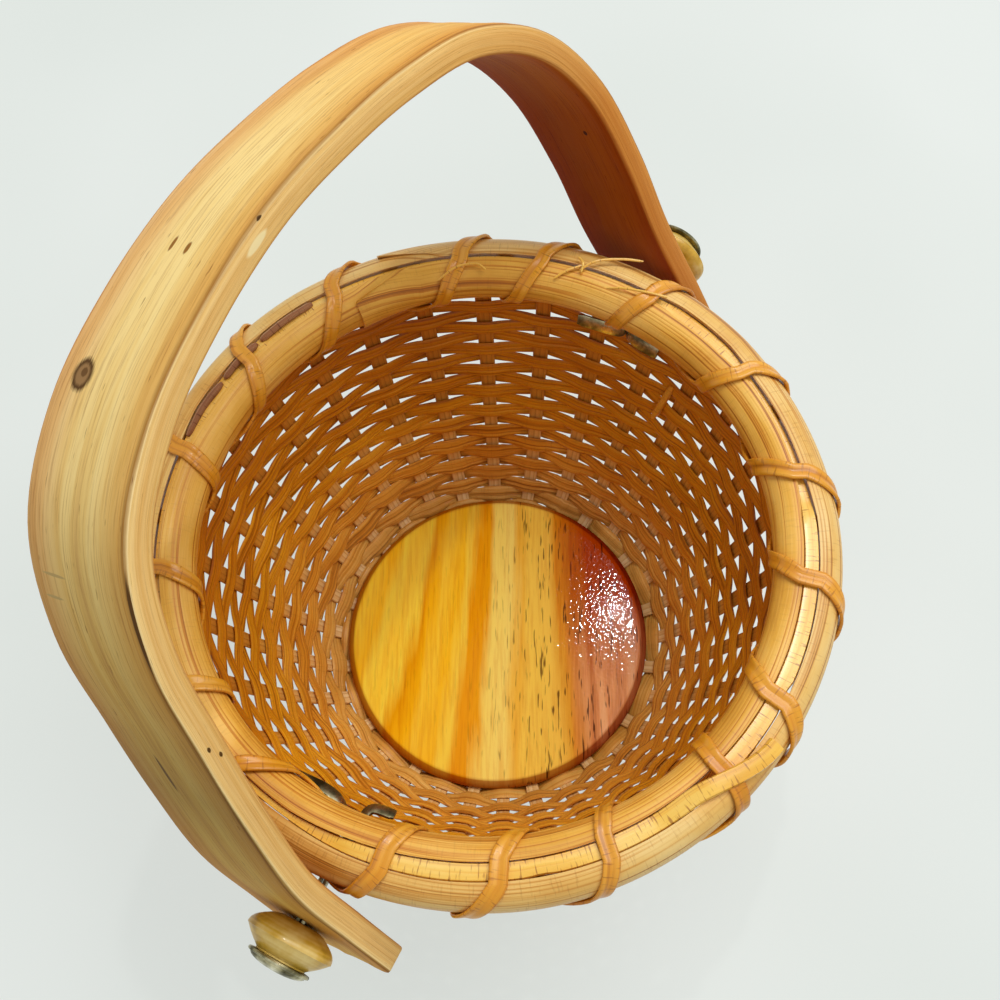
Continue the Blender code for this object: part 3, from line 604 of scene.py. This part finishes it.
def makeWeave():
    rowPitch, samples = weave["rowPitch"], weave["stepsPerStave"]
    low, high = weave["low"], wallLength - weave["topRoom"]
    start = -rowPitch / 2 + weave["tail"]
    seat = staveSize["thickness"] / 2 + weave["thickness"] / 2 + weave["seatGap"]
    places = []
    i = 0
    while True:
        turn, number = divmod(i // samples, staveCount)
        f = (i % samples) / samples
        angle = staveAngles[number]
        following = staveAngles[(number + 1) % staveCount] + (tau if number + 1 == staveCount else 0)
        angle += (following - angle) * f
        turns = turn + (angle - staveAngles[0]) / tau
        middle = low + start + rowPitch * turns
        wave = cos(pi * i / samples)
        over = min(max((abs(wave) - .3) / .4, 0), 1)
        frontShare = float(np.interp(middle, weave["frontPlaces"], weave["frontShares"]))
        breadth = rowPitch * (weave["crossShare"] + (frontShare - weave["crossShare"]) * over)
        bottom, top = clearStuds(angle, middle, middle - breadth / 2, middle + breadth / 2, high)
        bottom, top = low if turns < 1 else max(bottom, low), min(top, high)
        if top - bottom < weave["thinnest"]:
            if middle > wallLength / 2:
                break
            i += 1
            continue
        width = (top - bottom) * (1 + .07 * wander(i, 17, 3))
        distance = (bottom + top) / 2 + .00018 * wander(i, 23, 5)
        radius, height, out = onWall(distance)
        spacing = following - staveAngles[number]
        edge = cos(pi * min(staveWidth(distance) / (2 * radius * spacing), .4))
        # it lies flat on each stave, and crosses the other rows quickly between two of them
        swing = min((abs(wave) / edge) ** 1.5, 1 + .12 * abs(wave)) * seat * (1 if wave > 0 else -1)
        point = onCircle(radius + out.x * swing, angle, height + out.y * swing)
        tilt = .10 * wander(i, 11, 8)
        normal = Vector((out.x * cos(tilt) - out.y * sin(tilt), out.x * sin(tilt) + out.y * cos(tilt)))
        places.append((point, onCircle(normal.x, angle, normal.y), width))
        i += 1
    share = -(-len(places) // weave["lengths"])
    for number in range(weave["lengths"]):
        piece = places[number * share:(number + 1) * share + 1]
        strip = layStrip(f"weaver{number + 1}", piece, weave["section"], weave["thickness"], weaveCane)
        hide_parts(f"weaver_{number + 1}")
    print("weave:", len(places), "stations,", round((high - low) / rowPitch, 1), "rows")


makeWeave()


# The rim: two half-round hoops, the pale cane between them, and the lashing

def hoopSection(steps=22):
    # shares of the thickness and of half the height, from the flat face round the bulge and back
    section = []
    for i in range(steps + 1):
        turn = pi * i / steps - pi / 2
        bulge = abs(cos(turn)) ** (2 / rim["roundness"])
        rise = abs(sin(turn)) ** (2 / rim["roundness"]) * (1 if turn > 0 else -1)
        section.append((bulge, rise))
    return section + [(0, .6), (0, 0), (0, -.6)]


def makeHoop(name, node, material, flatRadius, thickness, side, lapStart, proud, seed):
    # one end tapers away under the other, which is cut square and stands proud
    section = hoopSection()
    rings, uvs = [], []
    steps = 300
    turnSize = tau + rim["lap"]
    for i in range(steps + 1):
        along = turnSize * i / steps
        angle = lapStart + along
        first = min(1, rim["firstEnd"] + (1 - rim["firstEnd"]) * along / rim["lap"])
        last = min(1, rim["lastEnd"] + (1 - rim["lastEnd"]) * (turnSize - along) / rim["lap"])
        ring, vs, v = [], [0], 0
        wobble = .00022 * wander(i, 24, seed)
        level = .00025 * wander(i, 31, seed + 1)
        for bulge, rise in section:
            reach = min(bulge, first)
            if last < 1:
                reach = max(bulge * (1 + proud * (1 - last)), rim["cover"] - last)
            radius = flatRadius + side * (thickness * reach + wobble * bulge - leanAt(angle, rise))
            height = rimMiddle + hoopHeight / 2 * rise * rim["heightShare"] + level * abs(rise)
            ring.append(onCircle(radius, angle, height))
        for a, b in zip(ring, ring[1:] + ring[:1]):
            v += (b - a).length
            vs.append(v)
        run = along * (flatRadius + side * thickness / 2)
        rings.append(ring)
        uvs.append([(run, v) for v in vs])
    hoop = skinPiece(name, rings, uvs, material, "basket", 50)
    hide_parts(node)


makeHoop("outerHoop", "rim_hoop_outer", outerRattan, channelOutside, rim["outerThickness"], 1,
         radians(34), .1, 1)
makeHoop("innerHoop", "rim_hoop_inner", innerRattan, channelInside, rim["innerThickness"], -1,
         radians(41.5), .22, 5)

lashing = {
    # it leaves out the first and last few steps, so its ends lie under the rim
    "width": .0036, "thickness": .0008, "gap": .00025, "steps": 44, "firstStep": 7, "lastSteps": 6,
    # where each turn leaves the outer hoop's foot and reaches the inner one's, in degrees
    "turns": ((10.5, 21.5), (26.5, 37.5), (50.5, 64.5), (72.5, 84.5), (96.5, 103.5), (118.5, 127.5),
              (141.5, 149.5), (153, 172), (187.5, 196.5), (204.5, 217), (224.5, 232.5), (249, 253.5),
              (260.5, 272.5), (282.5, 294.5), (302.5, 314.5), (325.5, 335.5), (348.5, 359)),
    "section": ((-1, 0), (-.97, .6), (-.88, 1), (-.6, .95), (-.2, .7), (0, .45), (.2, .7), (.6, .95),
                (.88, 1), (.97, .6), (1, 0), (.94, -.7), (.5, -1), (-.5, -1), (-.94, -.7)),
}


def gapNear(angle):
    # the nearest place to an angle where the lashing passes between two staves
    staves = staveAngles + [staveAngles[0] + tau]
    gaps = [((a + b) / 2, (b - a) / 2) for a, b in zip(staves, staves[1:])]
    middle, half = min(gaps, key=lambda gap: abs(gap[0] - angle % tau))
    free = half - (staveSize["topWidth"] / 2 + lashing["width"]) / channelMiddle
    return angle + min(max(angle % tau - middle, -free), free) - (angle % tau - middle)


def roundRim(turn, angle, lift):
    # a point and the way out on the line that wraps both hoops, lift outside it
    side = 1 if cos(turn) > 0 else -1
    rising = 1 if sin(turn) > 0 else -1
    thickness = rim["outerThickness"] if side > 0 else rim["innerThickness"]
    power, lean = 2 / rim["roundness"], rim["roundness"] - 1
    across, up = abs(cos(turn)) ** power, abs(sin(turn)) ** power * rising
    way = Vector((side * across ** lean / thickness, abs(up) ** lean * rising / (hoopHeight / 2)))
    way.normalize()
    radius = channelMiddle + side * (rim["channel"] / 2 + thickness * across - leanAt(angle, up))
    height = rimMiddle + hoopHeight / 2 * up
    return onCircle(radius + way.x * lift, angle, height + way.y * lift), onCircle(way.x, angle, way.y)


def makeLashing():
    outer = [radians(turn[0]) for turn in lashing["turns"]]
    inner = [radians(turn[1]) for turn in lashing["turns"]]
    lift = lashing["gap"] + lashing["thickness"] / 2
    last = len(outer) - 1
    steps = lashing["steps"]
    path = []
    for k in range(last + 1):
        comesFrom = gapNear((inner[k - 1] + outer[k]) / 2) if k else outer[0]
        goesTo = gapNear((inner[k] + outer[k + 1]) / 2) if k < last else inner[k]
        for i in range(0 if k else lashing["firstStep"], steps if k < last else steps - lashing["lastSteps"]):
            turn = tau * (i + .5) / steps - pi / 2
            angle = float(np.interp(
                turn, [-pi / 2, -pi / 8, 9 * pi / 8, 3 * pi / 2], [comesFrom, outer[k], inner[k], goesTo]
            ))
            point, normal = roundRim(turn, angle, lift)
            width = lashing["width"] * (1 + .10 * wander(k * steps + i, 13, 2))
            path.append((point, normal, width))
    strip = layStrip("lashing", path, lashing["section"], lashing["thickness"], lashingCane,
                     60)
    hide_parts("rim_lashing")


makeLashing()

filler = {
    # it starts under its own tail, which leaves the gap and comes out over the outer hoop, in degrees
    "start": 250.5, "rise": (238, 247), "swerve": (243, 260), "reach": .0046, "droop": .0012, "tilt": .3,
    "thickness": .0020, "gap": .0003, "margin": .0002, "crack": .0016,
    # it is thinner, and lies lower, where the hoops close over it and where twigs lie on it
    "sunkThickness": .0009, "openGap": .0013, "open": (180, 310),
    "section": ((-1, .2), (-.85, .85), (0, 1), (.85, .85), (1, .2), (1, -.5), (.8, -1), (-.8, -1), (-1, -.5)),
}


def makeFiller():
    thickness = filler["thickness"]
    thin = filler["sunkThickness"] / thickness
    path = []
    steps = 300
    last = filler["swerve"][1] + 360
    for i in range(steps + 1):
        degree = filler["start"] + (last - filler["start"]) * i / steps
        lift = float(np.interp(degree - 360, filler["rise"], (0, 1)))
        swerve = float(np.interp(degree - 360, filler["swerve"], (0, 1)))
        swerve = swerve * swerve * (3 - 2 * swerve)
        gap = gapAt(radians(degree))
        opening = min(max((gap - filler["openGap"]) / .0003, 0), 1)
        if not filler["open"][0] < degree % 360 < filler["open"][1]:
            opening = 0
        swell = thin + (1 - thin) * opening
        # here and there it leaves a dark crack beside it
        crack = max(0, wander(degree, 9, 4) - .1) * filler["crack"] * opening * (1 - lift)
        width = 2 * gap - filler["margin"] - crack
        radius = channelMiddle + filler["reach"] * swerve - crack / 2
        height = rimTop - thickness + thickness / 2 * swell + lift * (thickness + filler["gap"])
        height -= filler["droop"] * swerve ** 3
        point = onCircle(radius, radians(degree), height)
        path.append((point, onCircle(filler["tilt"] * swerve, radians(degree), 1), width, swell))
    strip = layStrip("filler", path, filler["section"], thickness, fillerCane)
    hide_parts("rim_filler")


makeFiller()


def layStick(name, places, radius, material, seed):
    # a thin round stick or fibre through some places, a little uneven, with closed ends
    points = [onCircle(r / 1000, radians(turn), rimTop + lift / 1000) for r, turn, lift in places]
    line = smoothThrough(points, 6)
    section = [(cos(tau * i / 8), sin(tau * i / 8)) for i in range(8)]
    path = []
    for i, point in enumerate(line):
        swell = 1 + .12 * wander(i, 3.3, seed)
        if i in (0, len(line) - 1):
            swell *= .6
        path.append((point, Vector((.1, .2, 1)), 2 * radius * swell, swell))
    layStrip(name, path, section, 2 * radius, material)


def smoothThrough(points, steps):
    points = [points[0] * 2 - points[1]] + points + [points[-1] * 2 - points[-2]]
    curve = []
    for a, b, c, d in zip(points, points[1:], points[2:], points[3:]):
        curve += interpolate_bezier(b, b + (c - a) / 6, c - (d - b) / 6, c, steps + 1)[:-1]
    return curve + [points[-2]]


# bits of brown twig in the open gap, loose fibres on the rim, and an offcut caught in the wall:
# places are radius in mm, degrees round the rim, and height over the rim's top in mm
looseBits = {
    "twigs": (((69.4, 97, -1.0), (69.6, 91, -.7), (69.3, 85, -.8)),
              ((69.4, 84, -.6), (69.5, 79.5, -.3), (69.5, 75, -.6)),
              ((69.6, 74, -.8), (69.4, 68, -.4), (69.5, 62, -.9))),
    "fibres": (((67.5, 8.5, .6), (70.5, 6, 1.6), (73.5, 2.0, 1.0), (75.5, -1.5, .4)),
               ((66.0, 2.5, -.6), (67.0, -1.5, .9), (68.4, -6, 1.4), (69.8, -9, .9)),
               ((64.5, 13, -.4), (66.5, 11.0, .6), (69.0, 8.0, 1.0)),
               ((70.5, 9.5, 1.2), (69.0, 8.2, 1.8), (67.0, 8.0, 1.0)),
               ((63.5, 37, -.6), (65.6, 33, .7), (66.0, 29, .9), (64.6, 27, .5))),
    "offcut": ((64.6, 344.1, -25), (60.0, 345.3, -37)),
    "twigRadius": .00078, "fibreRadius": .00028, "offcutRadius": .0009,
}


def makeLooseBits():
    for kind, material in (("twig", twigWood), ("fibre", fillerCane)):
        for number, places in enumerate(looseBits[kind + "s"], 1):
            layStick(f"{kind}{number}", places, looseBits[kind + "Radius"], material, number)
    layStick("offcut", looseBits["offcut"], looseBits["offcutRadius"], lashingCane, 9)


makeLooseBits()
print("rim made")


# The handle, bent along its centre line from a flat blank

handle = {
    "rise": .1048, "tail": .0175, "narrow": .0214, "broad": .0284, "thickness": .0055, "ease": .0006,
    "cornerRound": .0035, "lean": radians(29.3), "twist": radians(3.5), "tips": (.985, -1.02),
    # the knobs sit on the outer faces, half a span from the middle
    "halfSpan": .0818, "boreDepth": .02,
    # the centre line, as shares of the half span and of the rise
    "shape": ((1, 0), (1.01, .18), (1.04, .36), (1.04, .55), (.96, .725), (.79, .855), (.565, .93),
              (.33, .975), (.10, 1), (-.14, .995), (-.38, .96), (-.59, .875), (-.735, .725), (-.825, .55),
              (-.906, .37), (-.973, .19), (-1, 0)),
}


def handleSection(halfWidth):
    # across, thickness and the face that the point is on, as a running number from 0 to 4
    ease, halfThick = min(handle["ease"], halfWidth / 2), handle["thickness"] / 2
    section = []
    for side in (1, -1):
        face = 0 if side > 0 else 2
        for i in range(11):
            share = i / 10
            across = (halfWidth - ease) * (2 * share - 1) * -side
            section.append((across, side * halfThick, face + .04 + .92 * share))
        for i in (1, 2):
            turn = pi / 2 * i / 3
            section.append((-side * (halfWidth - ease + ease * sin(turn)),
                            side * (halfThick - ease + ease * cos(turn)), face + .96 + .02 * i))
        section.append((-side * halfWidth, side * (halfThick - ease), face + 1.06))
        section.append((-side * halfWidth, -side * (halfThick - ease), face + 1.94))
        for i in (1, 2):
            turn = pi / 2 * i / 3
            section.append((-side * (halfWidth - ease + ease * cos(turn)),
                            -side * (halfThick - ease + ease * sin(turn)), face + 1.96 + .01 * i))
    return section


def makeHandle():
    span = handle["halfSpan"]
    curve = smoothThrough([Vector((x * span, z * handle["rise"])) for x, z in handle["shape"]], 8)
    halves = np.linspace(handle["narrow"] / 2, handle["broad"] / 2, len(curve))
    stations = list(zip(curve, halves))
    tips = [Vector((share * span, -handle["tail"])) for share in handle["tips"]]
    for tip, end in ((tips[0], 0), (tips[1], -1)):
        foot, half = stations[end]
        run = tip - foot
        straight = 1 - handle["cornerRound"] / run.length
        more = [(foot + run * straight * share, half) for share in (.25, .5, .75)]
        for share in (0, .3, .5, .68, .82, .92, .98):
            taken = handle["cornerRound"] * (1 - sqrt(1 - share ** 2))
            more.append((foot + run * (straight + (1 - straight) * share), half - taken))
        stations = more[::-1] + stations if end == 0 else stations + more
    lean = Matrix.Translation(pivot) @ Matrix.Rotation(-handle["lean"], 4, "X")
    rings, uvs, run = [], [], 0
    for i, (point, half) in enumerate(stations):
        before, after = stations[max(i - 1, 0)][0], stations[min(i + 1, len(stations) - 1)][0]
        forward = (after - before).normalized()
        if i:
            run += (point - stations[i - 1][0]).length
        ring, vs = [], []
        for across, thick, face in handleSection(half):
            waver = .00012 * wander(run, .03, int(face * 9))
            out = thick * cos(handle["twist"]) + across * sin(handle["twist"]) + waver
            along = across * cos(handle["twist"]) - thick * sin(handle["twist"])
            ring.append(lean @ Vector((point.x + forward.y * out, along, point.y - forward.x * out)))
            vs.append((run, face))
        rings.append(ring)
        uvs.append(vs + [(run, 4.04)])
    blade = skinPiece("handleBlade", rings, uvs, bentWood, "handle", 50)
    for side in (1, -1):
        # the bore that the stud's legs pass through
        bpy.ops.object.select_all(action="DESELECT")
        bpy.ops.mesh.primitive_cylinder_add(vertices=32, radius=stud["bore"], depth=handle["boreDepth"],
                                            location=(side * span, pivot.y, pivot.z), rotation=(0, pi / 2, 0))
        drill = bpy.context.object
        activate(blade)
        bore = blade.modifiers.new("bore", "BOOLEAN")
        bore.operation = "DIFFERENCE"
        bore.object = drill
        bpy.ops.object.modifier_apply(modifier=bore.name)
        bpy.data.objects.remove(drill)
    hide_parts("handle")


stud = {
    "bore": .0016, "headRadius": .0069, "headHeight": .0023,
    # the head's rolled lip, as shares of its radius, and heights
    "lip": ((0, 0), (.9, 0), (.98, .0001), (1, .0004), (.985, .0007), (.93, .00085), (.90, .0008)),
    # each leg runs straight to a place along X, then bends; past the wall it is broader and leans back
    "legWidth": .0020, "legThickness": .00085, "slit": .0003, "straightTo": .080, "bendRoom": .0022,
    "spread": 1.65, "tip": .8, "leanBack": {1: .45, -1: .9},
    # the bends' places: along X from the middle of the basket, and away from the pivot's own line
    "legs": {1: (((.0660, .0012), (.0652, .0040), (.0642, .0118)),
                 ((.0660, .0012), (.0648, .0035), (.0640, .0092))),
             -1: (((.0655, .0012), (.0602, .0065), (.0600, .0168)),
                  ((.0655, .0008), (.0592, .0014), (.0578, .0065)))},
    "section": ((-1, -.6), (-1, .6), (-.8, 1), (.8, 1), (1, .6), (1, -.6), (.8, -1), (-.8, -1)),
}
makeHandle()
print("handle made")


# Knobs and studs, turned about the pivot's axis

def turnPiece(name, profile, closed, distance, way, material):
    # spins a profile of radius and height pairs, then lays the piece along X
    mesh = bpy.data.meshes.new(name)
    edges = [(i, i + 1) for i in range(len(profile) - 1)] + ([(len(profile) - 1, 0)] if closed else [])
    mesh.from_pydata([(radius, 0, height) for radius, height in profile], edges, [])
    obj = bpy.data.objects.new(name, mesh)
    bpy.context.scene.collection.objects.link(obj)
    activate(obj)
    bpy.ops.object.mode_set(mode="EDIT")
    bpy.ops.mesh.select_all(action="SELECT")
    bpy.ops.mesh.spin(steps=96, angle=tau, center=(0, 0, 0), axis=(0, 0, 1))
    bpy.ops.mesh.select_all(action="SELECT")
    bpy.ops.mesh.remove_doubles(threshold=.000001)
    bpy.ops.object.mode_set(mode="OBJECT")
    obj.rotation_euler.y = way * pi / 2
    obj.location = (way * distance, pivot.y, pivot.z)
    return settle(obj, name, material, "basket", 30)


knobLow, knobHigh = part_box("knob_right")
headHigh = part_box("pin_right")[1]
knob = {
    "faceRadius": .0056, "lip": .0005, "nose": .0005, "noseRadius": .0040, "inBulge": .30, "outBulge": .06,
}


def makeKnobs():
    # two shallow cones that meet in a sharp rim
    radius, half = (knobHigh.z - knobLow.z) / 2, (knobHigh.x - knobLow.x) / 2
    face, lip, nose = knob["faceRadius"], knob["lip"], knob["nose"]
    inner, outer = [(stud["bore"], -half - nose), (knob["noseRadius"], -half - nose * .9)], []
    for share in (0, .12, .25, .4, .55, .7, .82, .93):
        inward, outward = (share + knob[key] * sin(pi * share) for key in ("inBulge", "outBulge"))
        inner.append((face + (radius - face) * inward, -half * (1 - share) ** 1.1))
        outer.append((face + (radius - face) * outward, (half - lip) * (1 - share)))
    outer = outer[::-1] + [(face - .0001, half - lip * .4), (face - lip, half), (stud["bore"], half)]
    profile = inner + [(radius, -.0001), (radius, .0001)] + outer
    for name, node, way in (("knobRight", "knob_right", 1), ("knobLeft", "knob_left", -1)):
        piece = turnPiece(name, profile, True, (knobLow.x + knobHigh.x) / 2, way, bone)
        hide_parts(node)


makeKnobs()


def makeStuds():
    # a domed head with a rolled lip, and two flat legs that are bent apart inside the wall
    radius, height = stud["headRadius"], stud["headHeight"]
    profile = [(radius * share, rise) for share, rise in stud["lip"]]
    lipRadius, lipHeight = profile[-1]
    for i in range(1, 9):
        turn = pi / 2 * i / 8
        profile.append((lipRadius * cos(turn) if i < 8 else 0, lipHeight + (height - lipHeight) * sin(turn)))
    for name, node, way in (("studRight", "pin_right", 1), ("studLeft", "pin_left", -1)):
        head = turnPiece(name, profile, False, headHigh.x - height, way, oldBrass)
        legs = [layLeg(name, way, turn) for turn in (1, -1)]
        activate(head)
        for leg in legs:
            leg.select_set(True)
        bpy.ops.object.join()
        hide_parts(node)


def layLeg(name, way, turn):
    base = headHigh.x - stud["headHeight"]
    aside = turn * (stud["legThickness"] + stud["slit"]) / 2
    bends = stud["legs"][way][0 if turn > 0 else 1]
    straight = (base + stud["headHeight"] / 3, stud["straightTo"], bends[0][0] + stud["bendRoom"])
    line = [Vector((way * x, pivot.y + aside, pivot.z)) for x in straight]
    line += [Vector((way * x, pivot.y + turn * away, pivot.z)) for x, away in bends]
    line = line[:2] + smoothThrough(line[2:], 6)
    last = len(line) - 1
    path = []
    for i, point in enumerate(line):
        forward = (line[min(i + 1, last)] - line[max(i - 1, 0)]).normalized()
        width = stud["legWidth"] * (stud["spread"] if i > 3 else 1) * (stud["tip"] if i == last else 1)
        # past the wall a leg's flat side leans back, to face up into the basket
        upright = forward.cross(Vector((0, 0, 1))) * -turn * way
        back = stud["leanBack"][way] * min(max(i - 2, 0) / 5, 1)
        path.append((point, upright + Vector((0, 0, back)), width))
    return layStrip(f"{name}Leg", path, stud["section"], stud["legThickness"], oldBrass)


makeStuds()
print("knobs and studs made")


# Floor, light and camera

def makeFloor():
    # a pale sweep that mostly glows in its own colour to the camera, so that the shadow on it stays soft
    ownGlow = .74
    bpy.ops.object.select_all(action="DESELECT")
    bpy.ops.mesh.primitive_plane_add(size=6, location=(0, 0, 0))
    floor = bpy.context.object
    floor.name = "floorSweep"
    material, shader, add = startMaterial("pale painted floor", {"Roughness": .9, "Specular IOR Level": .1})
    place = add("TexCoord").outputs["Object"]
    cloud = add("TexNoise", {"Scale": 6, "Detail": 2, "Vector": place})
    tone = add("ValToRGB", {"stops": [(.3, "E0E6E1"), (.7, "E8EDE9")], "Fac": cloud})
    glow = add("Emission", {"Color": tone})
    share = compute(add, "MULTIPLY", addRays(add), ownGlow)
    both = add("MixShader", {0: share, 1: shader, 2: glow})
    setNode(material, shader, {"Base Color": tone})
    setNode(material, material.node_tree.nodes["Material Output"], {"Surface": both})
    floor.data.materials.append(material)


def addRays(add):
    # 1 for rays from the camera, and for those that glossy and clear surfaces send on
    rays = add("LightPath").outputs
    first = compute(add, "ADD", rays["Is Camera Ray"], rays["Is Glossy Ray"])
    return add("Math", {"operation": "ADD", "use_clamp": True, 0: first, 1: rays["Is Transmission Ray"]})


light = {
    # a broad soft lamp high over the far end of the pivot, a smaller one for the gloss, and an even sky:
    # the way to each lamp, its distance and size, and the light it gives a face turned to it
    "lamps": {"key": ((.42, -.20, .885), 1.2, .8, .50 * pi),
              "gloss": ((.365, .086, 1.148), 1.2, .035, .12 * pi)},
    "fill": .52, "sky": "F6F8F7",
}


def makeLight():
    world = bpy.data.worlds.new("soft room")
    bpy.context.scene.world = world
    world.use_nodes = True
    world.node_tree.nodes.clear()
    add = partial(addNode, world)
    strength = remap(add, addRays(add), 0, 1, light["fill"], 1)
    back = add("Background", {"Color": hexColour(light["sky"]), "Strength": strength})
    add("OutputWorld", {"Surface": back})
    for name, (way, distance, size, strength) in light["lamps"].items():
        lamp = bpy.data.lights.new(name, "AREA")
        lamp.shape = "DISK"
        lamp.size = size
        # a lamp of power P lights a face at distance d with P / (pi d d)
        lamp.energy = strength * pi * distance ** 2
        obj = bpy.data.objects.new(name, lamp)
        bpy.context.scene.collection.objects.link(obj)
        way = Vector(way).normalized()
        obj.location = way * distance
        obj.rotation_mode = "QUATERNION"
        obj.rotation_quaternion = (-way).to_track_quat("-Z", "Y")


def makeCamera():
    place, aim = Vector((-.07964, -.05797, .33932)), Vector((.03756, .01906, 0))
    roll, lens = radians(-6.14), 46.8
    camera = bpy.data.objects.new("camera", bpy.data.cameras.new("camera"))
    bpy.context.scene.collection.objects.link(camera)
    bpy.context.scene.camera = camera
    camera.location = place
    camera.rotation_mode = "QUATERNION"
    camera.rotation_quaternion = (aim - place).to_track_quat("-Z", "Y") @ Quaternion((0, 0, 1), roll)
    camera.data.lens = lens
    camera.data.clip_start = .01


makeFloor()
makeLight()
makeCamera()
bpy.context.scene.view_settings.view_transform = "Standard"
print("stage set")

bpy.context.view_layer.update()
